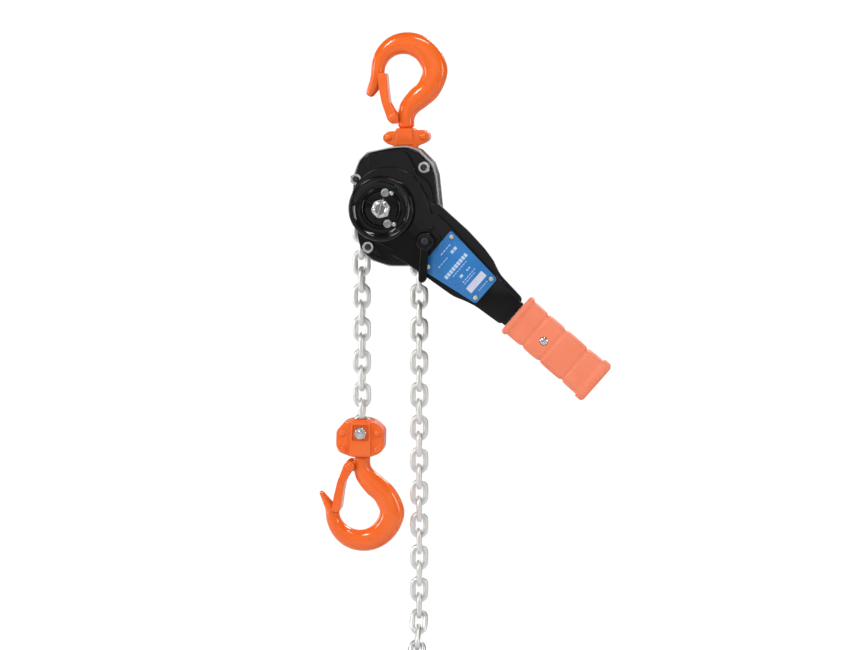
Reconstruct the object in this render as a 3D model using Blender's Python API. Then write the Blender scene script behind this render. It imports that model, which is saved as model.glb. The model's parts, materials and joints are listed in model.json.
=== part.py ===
"""Come along winch: a 1 t lever chain hoist, hanging from its top hook.

Metres, +Z up, front (the hand wheel) at -Y. The origin is the seat of the top hook.
Sizes below are in millimetres, in the frame of the load sheave's axis, and MM turns them into metres.
"""

import math

import bmesh
import bpy
from mathutils import Matrix, Vector

MM = 0.001
SHEAVE_X, SHEAVE_Z = -16.6, -163.0  # the sheave's axis, from the top hook's seat

# Chain
WIRE = 6.0
PITCH = 18.0
LINK_WIDTH = 20.0
RUN_RADIUS = PITCH / (2 * math.sin(math.radians(18)))  # load run to sheave axis: ten chords of one pitch
LOAD_LINKS = 13
JUNCTION = 0.8  # the runs sit this much into the sheave's links, so that their pieces part
FREE_X = 33.8  # the free run hangs a little further out than the sheave's edge
FREE_STRAIGHT = -500.0
COIL_RADIUS = 45.0
COIL_LAYERS = 4  # three full turns and a third of one, side by side

# Housing, along Y
PLATE_IN, PLATE_OUT = 16.0, 19.0
BRAKE_FRONT = -36.0
GEAR_BACK = 41.0
GAP = 0.3
SHAFT_R = 5.0

# Gears
GEAR_MODULE = 1.5
WHEEL_TEETH, PINION_TEETH = 24, 8
GEAR_CENTRES = GEAR_MODULE * (WHEEL_TEETH + PINION_TEETH) / 2

# Lever
LEVER_ANGLE = -40.5
GRIP_START, GRIP_END = 180.0, 293.0
GRIP_MID = 7.5
WHEEL_R = 34.8

# Hooks
BOWL_R = 20.5
SHANK_X = 3.2
TOP_HOOK = (-SHEAVE_X, -SHEAVE_Z)
YOKE_TOP = -79.0
TOP_PIN_Z = 55.0
BOTTOM_YOKE_Z = -253.0

OUTLINE = [
    (-29, 50), (-20.5, 58.5), (5, 64), (23, 65.5), (36, 61), (50, 47), (54.5, 34), (58.5, -5),
    (55, -32), (42, -52), (26, -64), (3.5, -64), (-15, -58), (-27, -48), (-32, -30), (-36, 18), (-34, 37),
]
BRAKE_DOME = [
    (-31, 14), (-24, 20), (-17.5, 30), (-16.5, 53.5), (-12.5, 57), (6, 59.4), (20, 60.4), (25, 57), (29.5, 48.5),
    (33.5, 40), (37.5, 33.5), (45, 29), (50, 21), (52.8, 3), (53.4, -5), (50, -29.5), (39.5, -47.5), (24.5, -58.8),
    (4.5, -58.8), (-9, -54.5), (-12, -50), (-9.5, -41), (-14, -34.5), (-24, -33.5), (-27, -29),
]
COVER_NUTS = [(-30.9, 29.7), (42.0, 42.6)]
LOW_BOLT = (15.0, -56.0)
STUD = (-18.1, -42.8)
TOP_PIN = (TOP_HOOK[0] + SHANK_X, TOP_PIN_Z)
GUIDE = (17.0, -39.5)

PAINTS = {
    "black_paint": ((0.012, 0.012, 0.013), 0.28, 0.0),
    "zinc": ((0.62, 0.62, 0.60), 0.3, 1.0),
    "chain_zinc": ((0.68, 0.68, 0.66), 0.28, 1.0),
    "steel": ((0.35, 0.35, 0.36), 0.4, 1.0),
    "hook_orange": ((0.86, 0.19, 0.035), 0.38, 0.0),
    "grip_rubber": ((0.88, 0.25, 0.13), 0.6, 0.0),
    "plate_blue": ((0.016, 0.17, 0.46), 0.35, 0.0),
    "friction_brown": ((0.12, 0.07, 0.045), 0.8, 0.0),
}


def paint(name):
    """One Principled material for each finish."""
    if name in bpy.data.materials:
        return bpy.data.materials[name]
    colour, roughness, metallic = PAINTS[name]
    material = bpy.data.materials.new(name)
    material.use_nodes = True
    shader = material.node_tree.nodes["Principled BSDF"]
    shader.inputs["Base Color"].default_value = (*colour, 1.0)
    shader.inputs["Roughness"].default_value = roughness
    shader.inputs["Metallic"].default_value = metallic
    material.diffuse_color = (*colour, 1.0)
    return material


def place(x, y, z):
    """A point in the sheave's frame, in mm, as a world point in metres."""
    return Vector(((x + SHEAVE_X) * MM, y * MM, (z + SHEAVE_Z) * MM))


def add(name, points, faces, finish, pivot=(0, 0, 0)):
    """An object from points in the sheave's frame, its origin on the pivot."""
    origin = place(*pivot)
    mesh = bpy.data.meshes.new(name)
    mesh.from_pydata([place(*p) - origin for p in points], [], faces)
    work = bmesh.new()
    work.from_mesh(mesh)
    bmesh.ops.recalc_face_normals(work, faces=work.faces)
    work.to_mesh(mesh)
    work.free()
    mesh.materials.append(paint(finish))
    obj = bpy.data.objects.new(name, mesh)
    obj.location = origin
    bpy.context.scene.collection.objects.link(obj)
    return obj


def prism(name, outline, y0, y1, finish, pivot=(0, 0, 0)):
    """An outline in XZ, extruded from y0 to y1."""
    n = len(outline)
    points = [(x, y0, z) for x, z in outline] + [(x, y1, z) for x, z in outline]
    sides = [(i, (i + 1) % n, n + (i + 1) % n, n + i) for i in range(n)]
    return add(name, points, [tuple(range(n)), tuple(range(2 * n - 1, n - 1, -1)), *sides], finish, pivot)


def lathe(name, profile, centre, finish, steps=20, pivot=None):
    """A profile of (y, r), turned round the Y axis through centre. A closed profile makes a ring."""
    cx, cz = centre
    solid = profile[0][1] == 0
    rings = profile[1:-1] if solid else profile
    points = [
        (cx + r * math.cos(a), y, cz + r * math.sin(a))
        for y, r in rings
        for a in (math.tau * i / steps for i in range(steps))
    ]
    spans = len(rings) - 1 if solid else len(rings)
    faces = []
    for j in range(spans):
        k = (j + 1) % len(rings)
        for i in range(steps):
            n = (i + 1) % steps
            faces.append((j * steps + i, j * steps + n, k * steps + n, k * steps + i))
    if solid:
        faces.append(tuple(range(steps)))
        faces.append(tuple(range((len(rings) - 1) * steps, len(rings) * steps)))
    return add(name, points, faces, finish, pivot or (cx, 0, cz))


def disc(name, r, y0, y1, centre, finish="steel", steps=20, pivot=None):
    """A plain round piece along Y."""
    return lathe(name, [(y0, 0), (y0, r), (y1, r), (y1, 0)], centre, finish, steps, pivot)


def ring(name, r_in, r_out, y0, y1, centre, finish="steel", steps=20, pivot=None):
    """A round piece along Y with a bore."""
    return lathe(name, [(y0, r_in), (y0, r_out), (y1, r_out), (y1, r_in)], centre, finish, steps, pivot)


def baked(obj):
    """The object with its modifiers made real."""
    graph = bpy.context.evaluated_depsgraph_get()
    mesh = bpy.data.meshes.new_from_object(obj.evaluated_get(graph))
    obj.modifiers.clear()
    obj.data = mesh
    return obj


def combine(obj, others, operation):
    """An exact boolean of obj with each of the others, which are used up."""
    for other in others:
        modifier = obj.modifiers.new("boolean", "BOOLEAN")
        modifier.solver = "EXACT"
        modifier.operation = operation
        modifier.object = other
        bpy.context.view_layer.update()
        baked(obj)
        bpy.data.objects.remove(other)
    return obj


def cut(obj, *others):
    """obj less the others."""
    return combine(obj, others, "DIFFERENCE")


def join(obj, *others):
    """obj and the others as one body."""
    return combine(obj, others, "UNION")


def bevel(obj, width, segments=1, angle=40):
    """Every edge sharper than angle, chamfered or rounded."""
    modifier = obj.modifiers.new("bevel", "BEVEL")
    modifier.width = width * MM
    modifier.segments = segments
    modifier.limit_method = "ANGLE"
    modifier.angle_limit = math.radians(angle)
    bpy.context.view_layer.update()
    return baked(obj)


def smooth(obj):
    """Shades a round piece smooth."""
    for face in obj.data.polygons:
        face.use_smooth = True
    return obj


def circle(r, centre=(0, 0), steps=32, start=0.0, end=360.0):
    """Points on an arc, its end left out when it is a whole circle."""
    whole = abs(end - start) >= 360
    count = steps if whole else steps + 1
    angles = [math.radians(start + (end - start) * i / steps) for i in range(count)]
    return [(centre[0] + r * math.cos(a), centre[1] + r * math.sin(a)) for a in angles]


def hexagon(across_corners, centre, turn=0.0):
    """A hexagon's six corners."""
    return circle(across_corners / 2, centre, 6, turn, turn + 360)


def inset(outline, by):
    """A convex outline moved in by a distance."""
    n = len(outline)
    moved = []
    for i in range(n):
        a, b, c = (Vector(outline[(i + k) % n]) for k in (-1, 0, 1))
        first, second = (b - a).normalized(), (c - b).normalized()
        normal = (Vector((-first.y, first.x)) + Vector((-second.y, second.x))).normalized()
        reach = by / max(0.3, normal.dot(Vector((-second.y, second.x))))
        moved.append(tuple(b - normal * reach))
    return moved


def along_lever(u, v):
    """A point u along the lever and v to its upper side, in the sheave's frame."""
    a = math.radians(LEVER_ANGLE)
    return (u * math.cos(a) - v * math.sin(a), u * math.sin(a) + v * math.cos(a))


# ---- Chain -------------------------------------------------------------------------------------


def link_rings(centre, along, across, wire=WIRE / 2, sides=5):
    """One chain link's tube: eight rings of points round its oval, a corner of each on the inside."""
    half = PITCH / 2 + WIRE / 2 - 0.3
    bend = LINK_WIDTH / 2 - WIRE / 2
    normal = along.cross(across)
    path = [(half - bend, -bend), (half, -bend * math.tan(math.radians(22.5)))]
    path += [(x, -y) for x, y in reversed(path)]
    path += [(-x, -y) for x, y in path]
    rings = []
    for i, (x, y) in enumerate(path):
        middle = half - bend if i < 4 else bend - half
        out = (along * (x - middle) + across * y).normalized()
        base = centre + along * x + across * y
        rings.append([
            base - out * (wire * math.cos(math.tau * k / sides)) + normal * (wire * math.sin(math.tau * k / sides))
            for k in range(sides)
        ])
    return rings


def tube_faces(rings, start, closed=True):
    """Faces between successive rings."""
    n, sides = len(rings), len(rings[0])
    faces = []
    for i in range(n if closed else n - 1):
        j = (i + 1) % n
        for k in range(sides):
            m = (k + 1) % sides
            faces.append((start + i * sides + k, start + i * sides + m, start + j * sides + m, start + j * sides + k))
    return faces


def links_object(name, links, finish):
    """Every link in one mesh: links don't touch when they are two apart."""
    points, faces = [], []
    for centre, along, across in links:
        rings = link_rings(centre, along, across)
        faces += tube_faces(rings, len(points))
        points += [tuple(p) for r in rings for p in r]
    return add(name, points, faces, finish)


def chain(name, links):
    """Interlocked links as one body."""
    body = links_object(name, links[0::2], "chain_zinc")
    return smooth(join(body, links_object(name + "_odd", links[1::2], "chain_zinc")))


def link_at(x, z, direction, flat):
    """A link's centre, its long direction in XZ, and its width direction."""
    a = math.radians(direction)
    along = Vector((math.cos(a), 0, math.sin(a)))
    across = Vector((0, 1, 0)) if flat else Vector((-along.z, 0, along.x))
    return Vector((x, 0, z)), along, across


def sheave_chain():
    """The five links over the sheave and the first of each run."""
    ends = [link_at(side * RUN_RADIUS, -PITCH / 2, 90, True) for side in (1, -1)]
    links = [ends[0]]
    for k in range(5):
        a = 18 + 36 * k
        r = RUN_RADIUS * math.cos(math.radians(18))
        x, z = r * math.cos(math.radians(a)), r * math.sin(math.radians(a))
        links.append(link_at(x, z, a + 90, k % 2 == 1))
    return chain("chain_over_sheave", [*links, ends[1]])


def load_chain():
    """The load run, straight down from the sheave to the bottom yoke."""
    return chain("load_chain", [
        link_at(-RUN_RADIUS, -PITCH / 2 - PITCH * j + JUNCTION, 90, j % 2 == 0) for j in range(1, LOAD_LINKS + 1)
    ])


def free_points():
    """Centres of the pins of the free run, leaning out to where it hangs, one pitch apart."""
    lean = math.asin((FREE_X - RUN_RADIUS) / (3 * PITCH))
    x, z = RUN_RADIUS, JUNCTION - PITCH
    pins = [(x, z)]
    for _ in range(3):
        x, z = x + PITCH * math.sin(lean), z - PITCH * math.cos(lean)
        pins.append((x, z))
    while z > FREE_STRAIGHT:
        z -= PITCH
        pins.append((x, z))
    return pins


def free_chain():
    """The free run, down to its coil."""
    pins = free_points()
    links = []
    for j, (a, b) in enumerate(zip(pins, pins[1:])):
        direction = math.degrees(math.atan2(a[1] - b[1], a[0] - b[0]))
        links.append(link_at((a[0] + b[0]) / 2, (a[1] + b[1]) / 2, direction, j % 2 == 1))
    return chain("free_chain", links)


def free_coil():
    """The rest of the free chain, wound into a neat coil and tied: a plain ring for its room and weight."""
    x, z = free_points()[-1]
    top = z - 6.3
    outer = COIL_RADIUS + LINK_WIDTH / 2
    inner = COIL_RADIUS - LINK_WIDTH / 2
    thick = COIL_LAYERS * LINK_WIDTH / 2 - 3.0
    r = 7.0
    profile = [(-thick, inner + r), (-thick, outer - r), (-thick + r, outer), (thick - r, outer),
               (thick, outer - r), (thick, inner + r), (thick - r, inner), (-thick + r, inner)]
    return smooth(lathe("free_chain_coil", profile, (x, top - outer), "chain_zinc", 24)), (x, top - outer)


def end_stop(coil_centre):
    """The ring on the free chain's last link, held under the coil."""
    x, z = coil_centre
    low = z - COIL_RADIUS - LINK_WIDTH / 2 - GAP
    centre = (x, low - 13)
    return ring("chain_end_ring", 8.5, 13, 27.6, 33.6, centre, "zinc", 20)


# ---- Hooks ---------------------------------------------------------------------------------------


HOOK_TIPS = {
    0.0: [((-29.8, -30.0), 169.0, 7.0, 7.8), ((-33.2, -37.5), 157.0, 5.9, 6.4), ((-36.2, -43.5), 153.0, 3.2, 3.6)],
    2.4: [((-35.4, -26.0), 158.0, 4.8, 6.4), ((-38.9, -31.5), 150.0, 3.5, 5.0), ((-42.0, -36.8), 148.0, 2.2, 2.8)],
}


def hook_sections(grow):
    """Stations down the shank and round the bowl: centre, direction across, half width, half depth.

    grow is how much larger than the top hook's the bowl is.
    """
    stations = []
    for z, half, depth in ((-95.5, 6.5, 6.5), (-93, 8.6, 8.6), (-88.3, 8.6, 8.6), (-87.8, 7.0, 7.0),
                           (-78.6, 7.0, 7.0), (-76.5, 8.7, 8.7), (-68, 9.2, 9.0)):
        stations.append(((SHANK_X, z), 0.0, half, depth))
    stations += [
        ((6.8, -57.5), -22.0, 11.2, 9.5),
        ((16.6 + 0.2 * grow, -47.0 + 0.4 * grow), -42.0, 12.6, 10.0),
        ((27.0 + 0.4 * grow, -37.5 + 0.6 * grow), -32.0, 12.8, 10.4),
    ]
    for degrees, inner, outer in (
        (0, 20.6, 47.8), (22, 20.5, 47.2), (45, 20.5, 46.3), (68, 20.5, 45.2), (90, 20.5, 43.6), (112, 20.5, 41.5),
        (135, 20.5, 38.6), (158, 20.5, 36.0), (180, 21.0, 34.9),
    ):
        middle, half = (inner + outer) / 2 + grow, (outer - inner) / 2
        a = math.radians(degrees)
        centre = (middle * math.cos(a) - 0.25 * grow, middle * math.sin(a) - BOWL_R + 0.67 * grow)
        stations.append((centre, degrees, half, 6.5 + 0.3 * half))
    return stations + HOOK_TIPS[grow]


def hook(name, at, flip, finish="hook_orange"):
    """A forged hook: rings of points along its stations. flip turns it over for the bottom hook."""
    sign = -1.0 if flip else 1.0
    rings = []
    for (x, z), degrees, half, depth in hook_sections(2.4 if flip else 0.0):
        a = math.radians(degrees)
        ring_points = []
        for k in range(10):
            b = math.tau * (k + 0.5) / 10
            w, d = half * math.cos(b), depth * math.sin(b)
            ring_points.append(Vector((at[0] + x + w * math.cos(a), d, at[1] + sign * (z + w * math.sin(a)))))
        rings.append(ring_points)
    points = [tuple(p) for r in rings for p in r]
    faces = tube_faces(rings, 0, closed=False)
    faces.append(tuple(range(10)))
    faces.append(tuple(range(len(points) - 10, len(points))))
    return smooth(add(name, points, faces, finish, (at[0] + SHANK_X, 0, at[1] + sign * YOKE_TOP)))


LATCH_PIVOT = (-10.2, -67.5)
LATCH_LEFT = [(-27.2, -20.0), (-25.2, -36.5), (-22.4, -51.5), (-18.2, -63.5), (-15.6, -71.0), (-10.5, -75.0)]
LATCH_RIGHT = [(-4.8, -73.0), (-3.9, -66.5), (-9.8, -58.5), (-13.8, -51.5), (-15.6, -38.0), (-17.2, -20.0)]
LATCH_ROOM = [(-30, -17), (-30, -80), (0, -80), (0, -52.5), (-15.9, -52.5), (-17.6, -38.0), (-19.2, -17.0)]


def latch(name, at, flip):
    """A pressed steel latch: a bent U-shaped channel from its rivet to the hook's tip."""
    sign = -1.0 if flip else 1.0

    def shape(outline, y0, y1, label):
        points = []
        for x, z in outline:  # the bottom hook's latch is the longer one and leans out further
            t = max(0.0, (z + 67.5) / 47.5) if flip else 0.0
            points.append((at[0] + x - 3.0 * t, at[1] + sign * (z + 2.0 * t)))
        pivot = (at[0] + LATCH_PIVOT[0], 0, at[1] + sign * LATCH_PIVOT[1])
        return prism(label, points, y0, y1, "hook_orange", pivot)

    body = shape(LATCH_LEFT + LATCH_RIGHT, -11.2, 11.2, name)
    bore = disc("bore", 2.8, -20, 20, (at[0] + LATCH_PIVOT[0], at[1] + sign * LATCH_PIVOT[1]), steps=12)
    return cut(body, shape(LATCH_ROOM, -9.7, 9.7, name + "_room"), bore)


def latch_lugs(hook_object, at, flip):
    """The boss on the hook's neck that the latch's rivet goes through."""
    sign = -1.0 if flip else 1.0
    px, pz = LATCH_PIVOT
    outline = [(at[0] + x, at[1] + sign * z) for x, z in
               ((px - 4.5, pz - 2), (px - 3, pz + 4), (px + 3, pz + 5), (0, -60), (0, -74), (px + 2, pz - 5))]
    join(hook_object, prism("lug", outline, -4.5, 4.5, "hook_orange"))
    bore = disc("lug_bore", 2.8, -12, 12, (at[0] + px, at[1] + sign * pz), steps=12)
    return cut(hook_object, bore)


def latch_pin(name, at, flip):
    """The rivet through the latch and the hook's neck, its heads outside."""
    sign = -1.0 if flip else 1.0
    centre = (at[0] + LATCH_PIVOT[0], at[1] + sign * LATCH_PIVOT[1])
    return lathe(name, [(-12.6, 0), (-12.6, 3.2), (-11.5, 4.4), (-11.5, 2.5), (11.5, 2.5), (11.5, 4.4),
                        (12.6, 3.2), (12.6, 0)], centre, "hook_orange", 14)


def post(name, profile, centre, finish="steel", steps=16):
    """A profile of (z, r), turned round the upright line through centre."""
    cx, cz = centre
    rings = profile[1:-1]
    points = [
        (cx + r * math.cos(a), r * math.sin(a), cz + z)
        for z, r in rings
        for a in (math.tau * i / steps for i in range(steps))
    ]
    faces = []
    for j in range(len(rings) - 1):
        for i in range(steps):
            n = (i + 1) % steps
            faces.append((j * steps + i, j * steps + n, (j + 1) * steps + n, (j + 1) * steps + i))
    faces.append(tuple(range(steps)))
    faces.append(tuple(range(len(points) - steps, len(points))))
    return add(name, points, faces, finish)


def yoke_half(name, outline, y_in, y_out, rivets, neck, pin):
    """Half of a forged yoke, split across Y. neck is (x, z, sign) of the hook's seat in it; pin is (centre, r)."""
    low, high = sorted((y_in, y_out))
    body = bevel(prism(name, outline, low, high, "hook_orange"), 1.6, 1, 50)
    x, z, sign = neck
    pocket = [(-17.0, 0), (-17.0, 9.0), (-8.5, 9.0), (-8.5, 7.6), (12.0, 7.6), (12.0, 0)]
    if sign < 0:
        pocket = [(-a, r) for a, r in reversed(pocket)]
    cut(body, post("pocket", pocket, (x, z)))
    side = math.copysign(1, y_out)
    for rivet in rivets:
        head = [(y_out - side * 2, 0), (y_out - side * 2, 3.6), (y_out + side * 0.6, 3.6),
                (y_out + side * 1.9, 2.2), (y_out + side * 1.9, 0)]
        join(body, lathe("head", head, rivet, "hook_orange", 10))
    if pin:
        cut(body, disc("pin_bore", pin[1], -40, 40, pin[0], steps=16))
    return body


def top_yoke():
    """The two halves that hang on the top pin and clasp the top hook's head."""
    x0, z0 = TOP_HOOK[0] + SHANK_X, TOP_HOOK[1]
    px, pz = TOP_PIN
    outline = [
        (x0 - 9.5, z0 - 79), (x0 - 10.5, z0 - 82), (x0 - 19, z0 - 82.5), (x0 - 24, z0 - 87), (x0 - 24, z0 - 92),
        (x0 - 19, z0 - 96), (px - 12, z0 - 98), (px - 10.5, pz), (px - 6, pz - 9), (px + 6, pz - 9),
        (px + 10.5, pz), (px + 12, z0 - 98), (x0 + 21, z0 - 95), (x0 + 26, z0 - 91), (x0 + 26, z0 - 85),
        (x0 + 21, z0 - 81), (x0 + 10.5, z0 - 81), (x0 + 9.5, z0 - 79),
    ]
    rivets = [(x0 - 18, z0 - 89), (x0 + 19.5, z0 - 88)]
    for name, y_in, y_out in (("top_yoke_front", -0.15, -12.0), ("top_yoke_rear", 0.15, 12.0)):
        yoke_half(name, outline, y_in, y_out, rivets, (x0, z0 - 79, 1), (TOP_PIN, 6.3))


def bottom_yoke():
    """The two halves round the load chain's last link and the bottom hook's head."""
    x0, z0 = -RUN_RADIUS, BOTTOM_YOKE_Z
    outline = [
        (x0 - 8, z0 + 20.5), (x0 - 18, z0 + 18), (x0 - 27, z0 + 8), (x0 - 27.5, z0 - 9), (x0 - 24, z0 - 16),
        (x0 - 10, z0 - 21), (x0 + 10, z0 - 21), (x0 + 20, z0 - 17), (x0 + 25, z0 - 12), (x0 + 25.5, z0 + 9),
        (x0 + 17, z0 + 17), (x0 + 9, z0 + 20.5),
    ]
    rivets = [(x0 - 20, z0 + 6), (x0 + 18.5, z0 + 6), (x0 - 20, z0 - 12), (x0 + 18.5, z0 - 12)]
    raised = [(x0 - 12.5, z0 - 19), (x0 + 11, z0 - 19), (x0 + 11, z0 + 18), (x0 - 9.5, z0 + 18)]
    recess = [(x0 - 9.6, z0 - 2.4), (x0 + 9.2, z0 - 2.4), (x0 + 9.2, z0 + 14.9), (x0 - 8.6, z0 + 14.9)]
    pin = (CHAIN_PIN, 3.4)
    for name, y_in, y_out in (("bottom_yoke_front", -0.15, -13.0), ("bottom_yoke_rear", 0.15, 13.0)):
        body = yoke_half(name, outline, y_in, y_out, rivets, (x0, z0 - 21, -1), pin)
        panel = prism("panel", raised, *sorted((y_out * 0.75, y_out * 1.17)), "hook_orange")
        cut(panel, prism("recess", recess, *sorted((y_out, y_out * 1.5)), "hook_orange"))
        join(body, cut(panel, disc("bore", 3.4, -40, 40, CHAIN_PIN, steps=16)))
        slot = [(x0 - 15.5, z0 + 30), (x0 - 11.5, z0 - 6), (x0 + 11.5, z0 - 6), (x0 + 15.5, z0 + 30)]
        standing = prism("slot", slot, -3.8, 3.8, "steel")
        flat = prism("slot", [(x0 - 9, z0 + 30), (x0 - 4.5, z0 + 9), (x0 + 4.5, z0 + 9), (x0 + 9, z0 + 30)],
                     -11, 11, "steel")
        cut(body, standing, flat)


CHAIN_PIN = (-RUN_RADIUS, BOTTOM_YOKE_Z + 6.0)


def chain_bolt():
    """The bolt through the bottom yoke and the load chain's last link, and its nut at the back."""
    head = [(-16.5, 0), (-16.5, 5.6), (-13.3, 6.2), (-13.3, 3.1), (19.5, 3.1), (19.5, 0)]
    smooth(lathe("chain_bolt", head, CHAIN_PIN, "zinc", 18))
    nut = prism("chain_bolt_nut", hexagon(14, CHAIN_PIN, 30), 13.3, 19, "zinc", (CHAIN_PIN[0], 0, CHAIN_PIN[1]))
    cut(nut, disc("nut_bore", 3.4, 10, 22, CHAIN_PIN, steps=18))


# ---- Housing -------------------------------------------------------------------------------------


def side_plates():
    """The front and rear plates, with bores for everything that goes through."""
    for name, y0, y1 in (("front_side_plate", -PLATE_OUT, -PLATE_IN), ("rear_side_plate", PLATE_IN, PLATE_OUT)):
        body = prism(name, OUTLINE, y0, y1, "zinc")
        bores = [(0, 0, 17.3), (*TOP_PIN, 6.3), (*GUIDE, 4.3)]
        bores += [(*at, 3.8) for at in (*COVER_NUTS, LOW_BOLT)]
        if name.startswith("front"):
            bores.append((*STUD, 3.8))
            bores += [(x, z, 3.8) for x, z in PAWLS]
        else:
            bores += [(0, GEAR_CENTRES, 8.2), (0, -GEAR_CENTRES, 8.2)]
        for x, z, r in bores:
            cut(body, disc("bore", r, -30, 30, (x, z), steps=24 if r > 10 else 12))


def cover(name, y_plate, y_step, y_end, raised, posts, finish="black_paint"):
    """A pressed cover: a flange with the plate's outline and a raised dome, hollow behind."""
    side = math.copysign(1, y_end)
    base = prism(name, inset(OUTLINE, 1.2), *sorted((y_plate, y_step)), finish)
    dome = prism("dome", raised, *sorted((y_plate, y_end)), finish)
    for at in posts:
        cut(dome, disc("nut_room", 9.5, -60, 60, at, steps=14))
    bevel(dome, 2.0, 1, 35)
    join(base, dome)
    hollow = prism("hollow", inset(raised, 2.5), *sorted((y_plate - side * 2, y_end - side * 2.0)), finish)
    for at in posts:
        cut(hollow, disc("nut_room", 12, -60, 60, at, steps=10))
    cut(base, hollow)
    return base


def covers():
    """The brake cover at the front and the gear cover at the back."""
    front = cover("brake_cover", -PLATE_OUT - GAP, -25.5, BRAKE_FRONT, BRAKE_DOME, (*COVER_NUTS, STUD))
    cut(front, disc("mouth", 22.0, -60, 0, (0, 0), steps=24))
    for at in (*COVER_NUTS, STUD):
        cut(front, disc("bore", 3.8, -60, 0, at, steps=12))
    back = cover("gear_cover", PLATE_OUT + GAP, 25.5, GEAR_BACK, inset(OUTLINE, 5.0), (*COVER_NUTS, LOW_BOLT))
    for at in (*COVER_NUTS, LOW_BOLT):
        cut(back, disc("bore", 3.8, 0, 60, at, steps=12))


def fasteners():
    """Stay bolts with hex heads at the back, nuts on two of them, and a short stud with the third nut."""
    for i, at in enumerate((*COVER_NUTS, LOW_BOLT), 1):
        front = -19 if at == LOW_BOLT else -33
        stay = prism(f"stay_bolt_{i}", hexagon(13, at), 25.8, 31, "zinc", (at[0], 0, at[1]))
        shank = [(front, 0), (front, 3.5), (-15.7, 3.5), (-15.7, 5.5), (15.7, 5.5), (15.7, 3.5), (28, 3.5), (28, 0)]
        join(stay, lathe("shank", shank, at, "zinc", 12))
    stud = [(-33, 0), (-33, 3.5), (-15.7, 3.5), (-15.7, 5.5), (-13.2, 5.5), (-13.2, 0)]
    smooth(lathe("cover_stud", stud, STUD, "zinc", 12))
    for i, at in enumerate((*COVER_NUTS, STUD), 1):
        nut = prism(f"cover_nut_{i}", hexagon(13.4, at, 30), -31.2, -25.8, "zinc", (at[0], 0, at[1]))
        cut(bevel(nut, 0.6, 1, 50), disc("nut_bore", 3.8, -40, 0, at, steps=12))


def pins_and_bearings():
    """The top pin, the guide roller on its pin, and the sheave's two bearings."""
    smooth(disc("top_pin", 6.0, -19.0, 19.0, TOP_PIN, steps=20))
    smooth(disc("guide_pin", 4.0, -19.0, 19.0, GUIDE, steps=16))
    roller = lathe("guide_roller", [(-12, 4.3), (-12, 9), (-4.5, 9), (-3.9, 5.4), (3.9, 5.4), (4.5, 9), (12, 9),
                                    (12, 4.3)], GUIDE, "steel", 20)
    smooth(roller)
    for name, y0, y1 in (("front_bearing", -20.2, -14.0), ("rear_bearing", 14.0, 20.2)):
        smooth(ring(name, 11.3, 17.0, y0, y1, (0, 0)))


def stripper():
    """The chain guide between the runs, under the sheave, held by the plates."""
    outline = [(-11.5, -37.5), (-9, -33), (0, -31.5), (5, -32.5), (4, -44), (-4, -48), (-11, -46.5)]
    body = prism("chain_stripper", outline, -15.7, 15.7, "steel")
    groove = disc("sheave_room", 31.0, -20, 20, (0, 0), steps=40)
    return cut(body, groove)


# ---- Gears and brake -----------------------------------------------------------------------------


def gear_outline(teeth, centre, turn=0.0):
    """A gear's outline, its flanks straight from root to tip."""
    r = GEAR_MODULE * teeth / 2
    tip, root = r + 0.8 * GEAR_MODULE, r - 1.1 * GEAR_MODULE
    step = math.tau / teeth
    points = []
    for i in range(teeth):
        middle = math.radians(turn) + i * step
        for radius, share in ((root, -0.25), (tip, -0.10), (tip, 0.10), (root, 0.25)):
            a = middle + share * step
            points.append((centre[0] + radius * math.cos(a), centre[1] + radius * math.sin(a)))
    return points


def sheave():
    """The load sheave: five pockets, a groove for the upright links, and journals at both ends."""
    profile = [(-20.5, 0), (-20.5, 11), (-13.3, 11), (-13.3, 14.5), (-13, 25), (-11, 30), (-4.2, 30), (-4, 17.2),
               (4, 17.2), (4.2, 30), (11, 30), (13, 25), (13.3, 14.5), (13.3, 11), (20.5, 11), (20.5, 9.0),
               (28.2, 9.0), (28.2, 0)]
    body = lathe("load_sheave", profile, (0, 0), "steel", 30)
    for k in range(5):
        a = 54 + 72 * k
        turned = math.radians(a)
        outline = circle(11, (0, 5.6), 4, 0, 180) + circle(11, (0, -5.6), 4, 180, 360)
        low, high = 23.5, 36
        points = []
        for r in (low, high):
            for y, t in outline:
                points.append((r * math.cos(turned) - t * math.sin(turned), y,
                               r * math.sin(turned) + t * math.cos(turned)))
        n = len(outline)
        sides = [(i, (i + 1) % n, n + (i + 1) % n, n + i) for i in range(n)]
        pocket = add("pocket", points, [tuple(range(n)), tuple(range(2 * n - 1, n - 1, -1)), *sides], "steel")
        cut(body, pocket)
    return cut(body, disc("shaft_bore", SHAFT_R + GAP, -30, 40, (0, 0), steps=16))


def gears():
    """The load gear on the sheave, two disc gears, and the drive shaft with its pinion."""
    load = prism("load_gear", gear_outline(WHEEL_TEETH, (0, 0), 90), 21, 28, "steel")
    cut(load, disc("bore", 9.3, 0, 60, (0, 0), steps=24))
    for name, z, turn in (("upper_disc_gear", GEAR_CENTRES, -90.0), ("lower_disc_gear", -GEAR_CENTRES, 90.0)):
        half = 180 / PINION_TEETH
        body = prism(name, gear_outline(PINION_TEETH, (0, z), turn + half), 20.2, 28.6, "steel", (0, 0, z))
        wheel = prism("wheel", gear_outline(WHEEL_TEETH, (0, z), turn), 28.5, 33.5, "steel")
        axle = disc("axle", 3.0, 16.5, 38.5, (0, z), steps=16)
        join(body, wheel, axle)
    profile = [(-66, 0), (-66, SHAFT_R), (28.4, SHAFT_R), (28.4, 3.9), (38.5, 3.9), (38.5, 0)]
    shaft = lathe("drive_shaft", profile, (0, 0), "steel", 20)
    half = 180 / PINION_TEETH
    join(shaft, prism("pinion", gear_outline(PINION_TEETH, (0, 0), 90 + half), 28.6, 34.0, "steel"))


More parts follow.
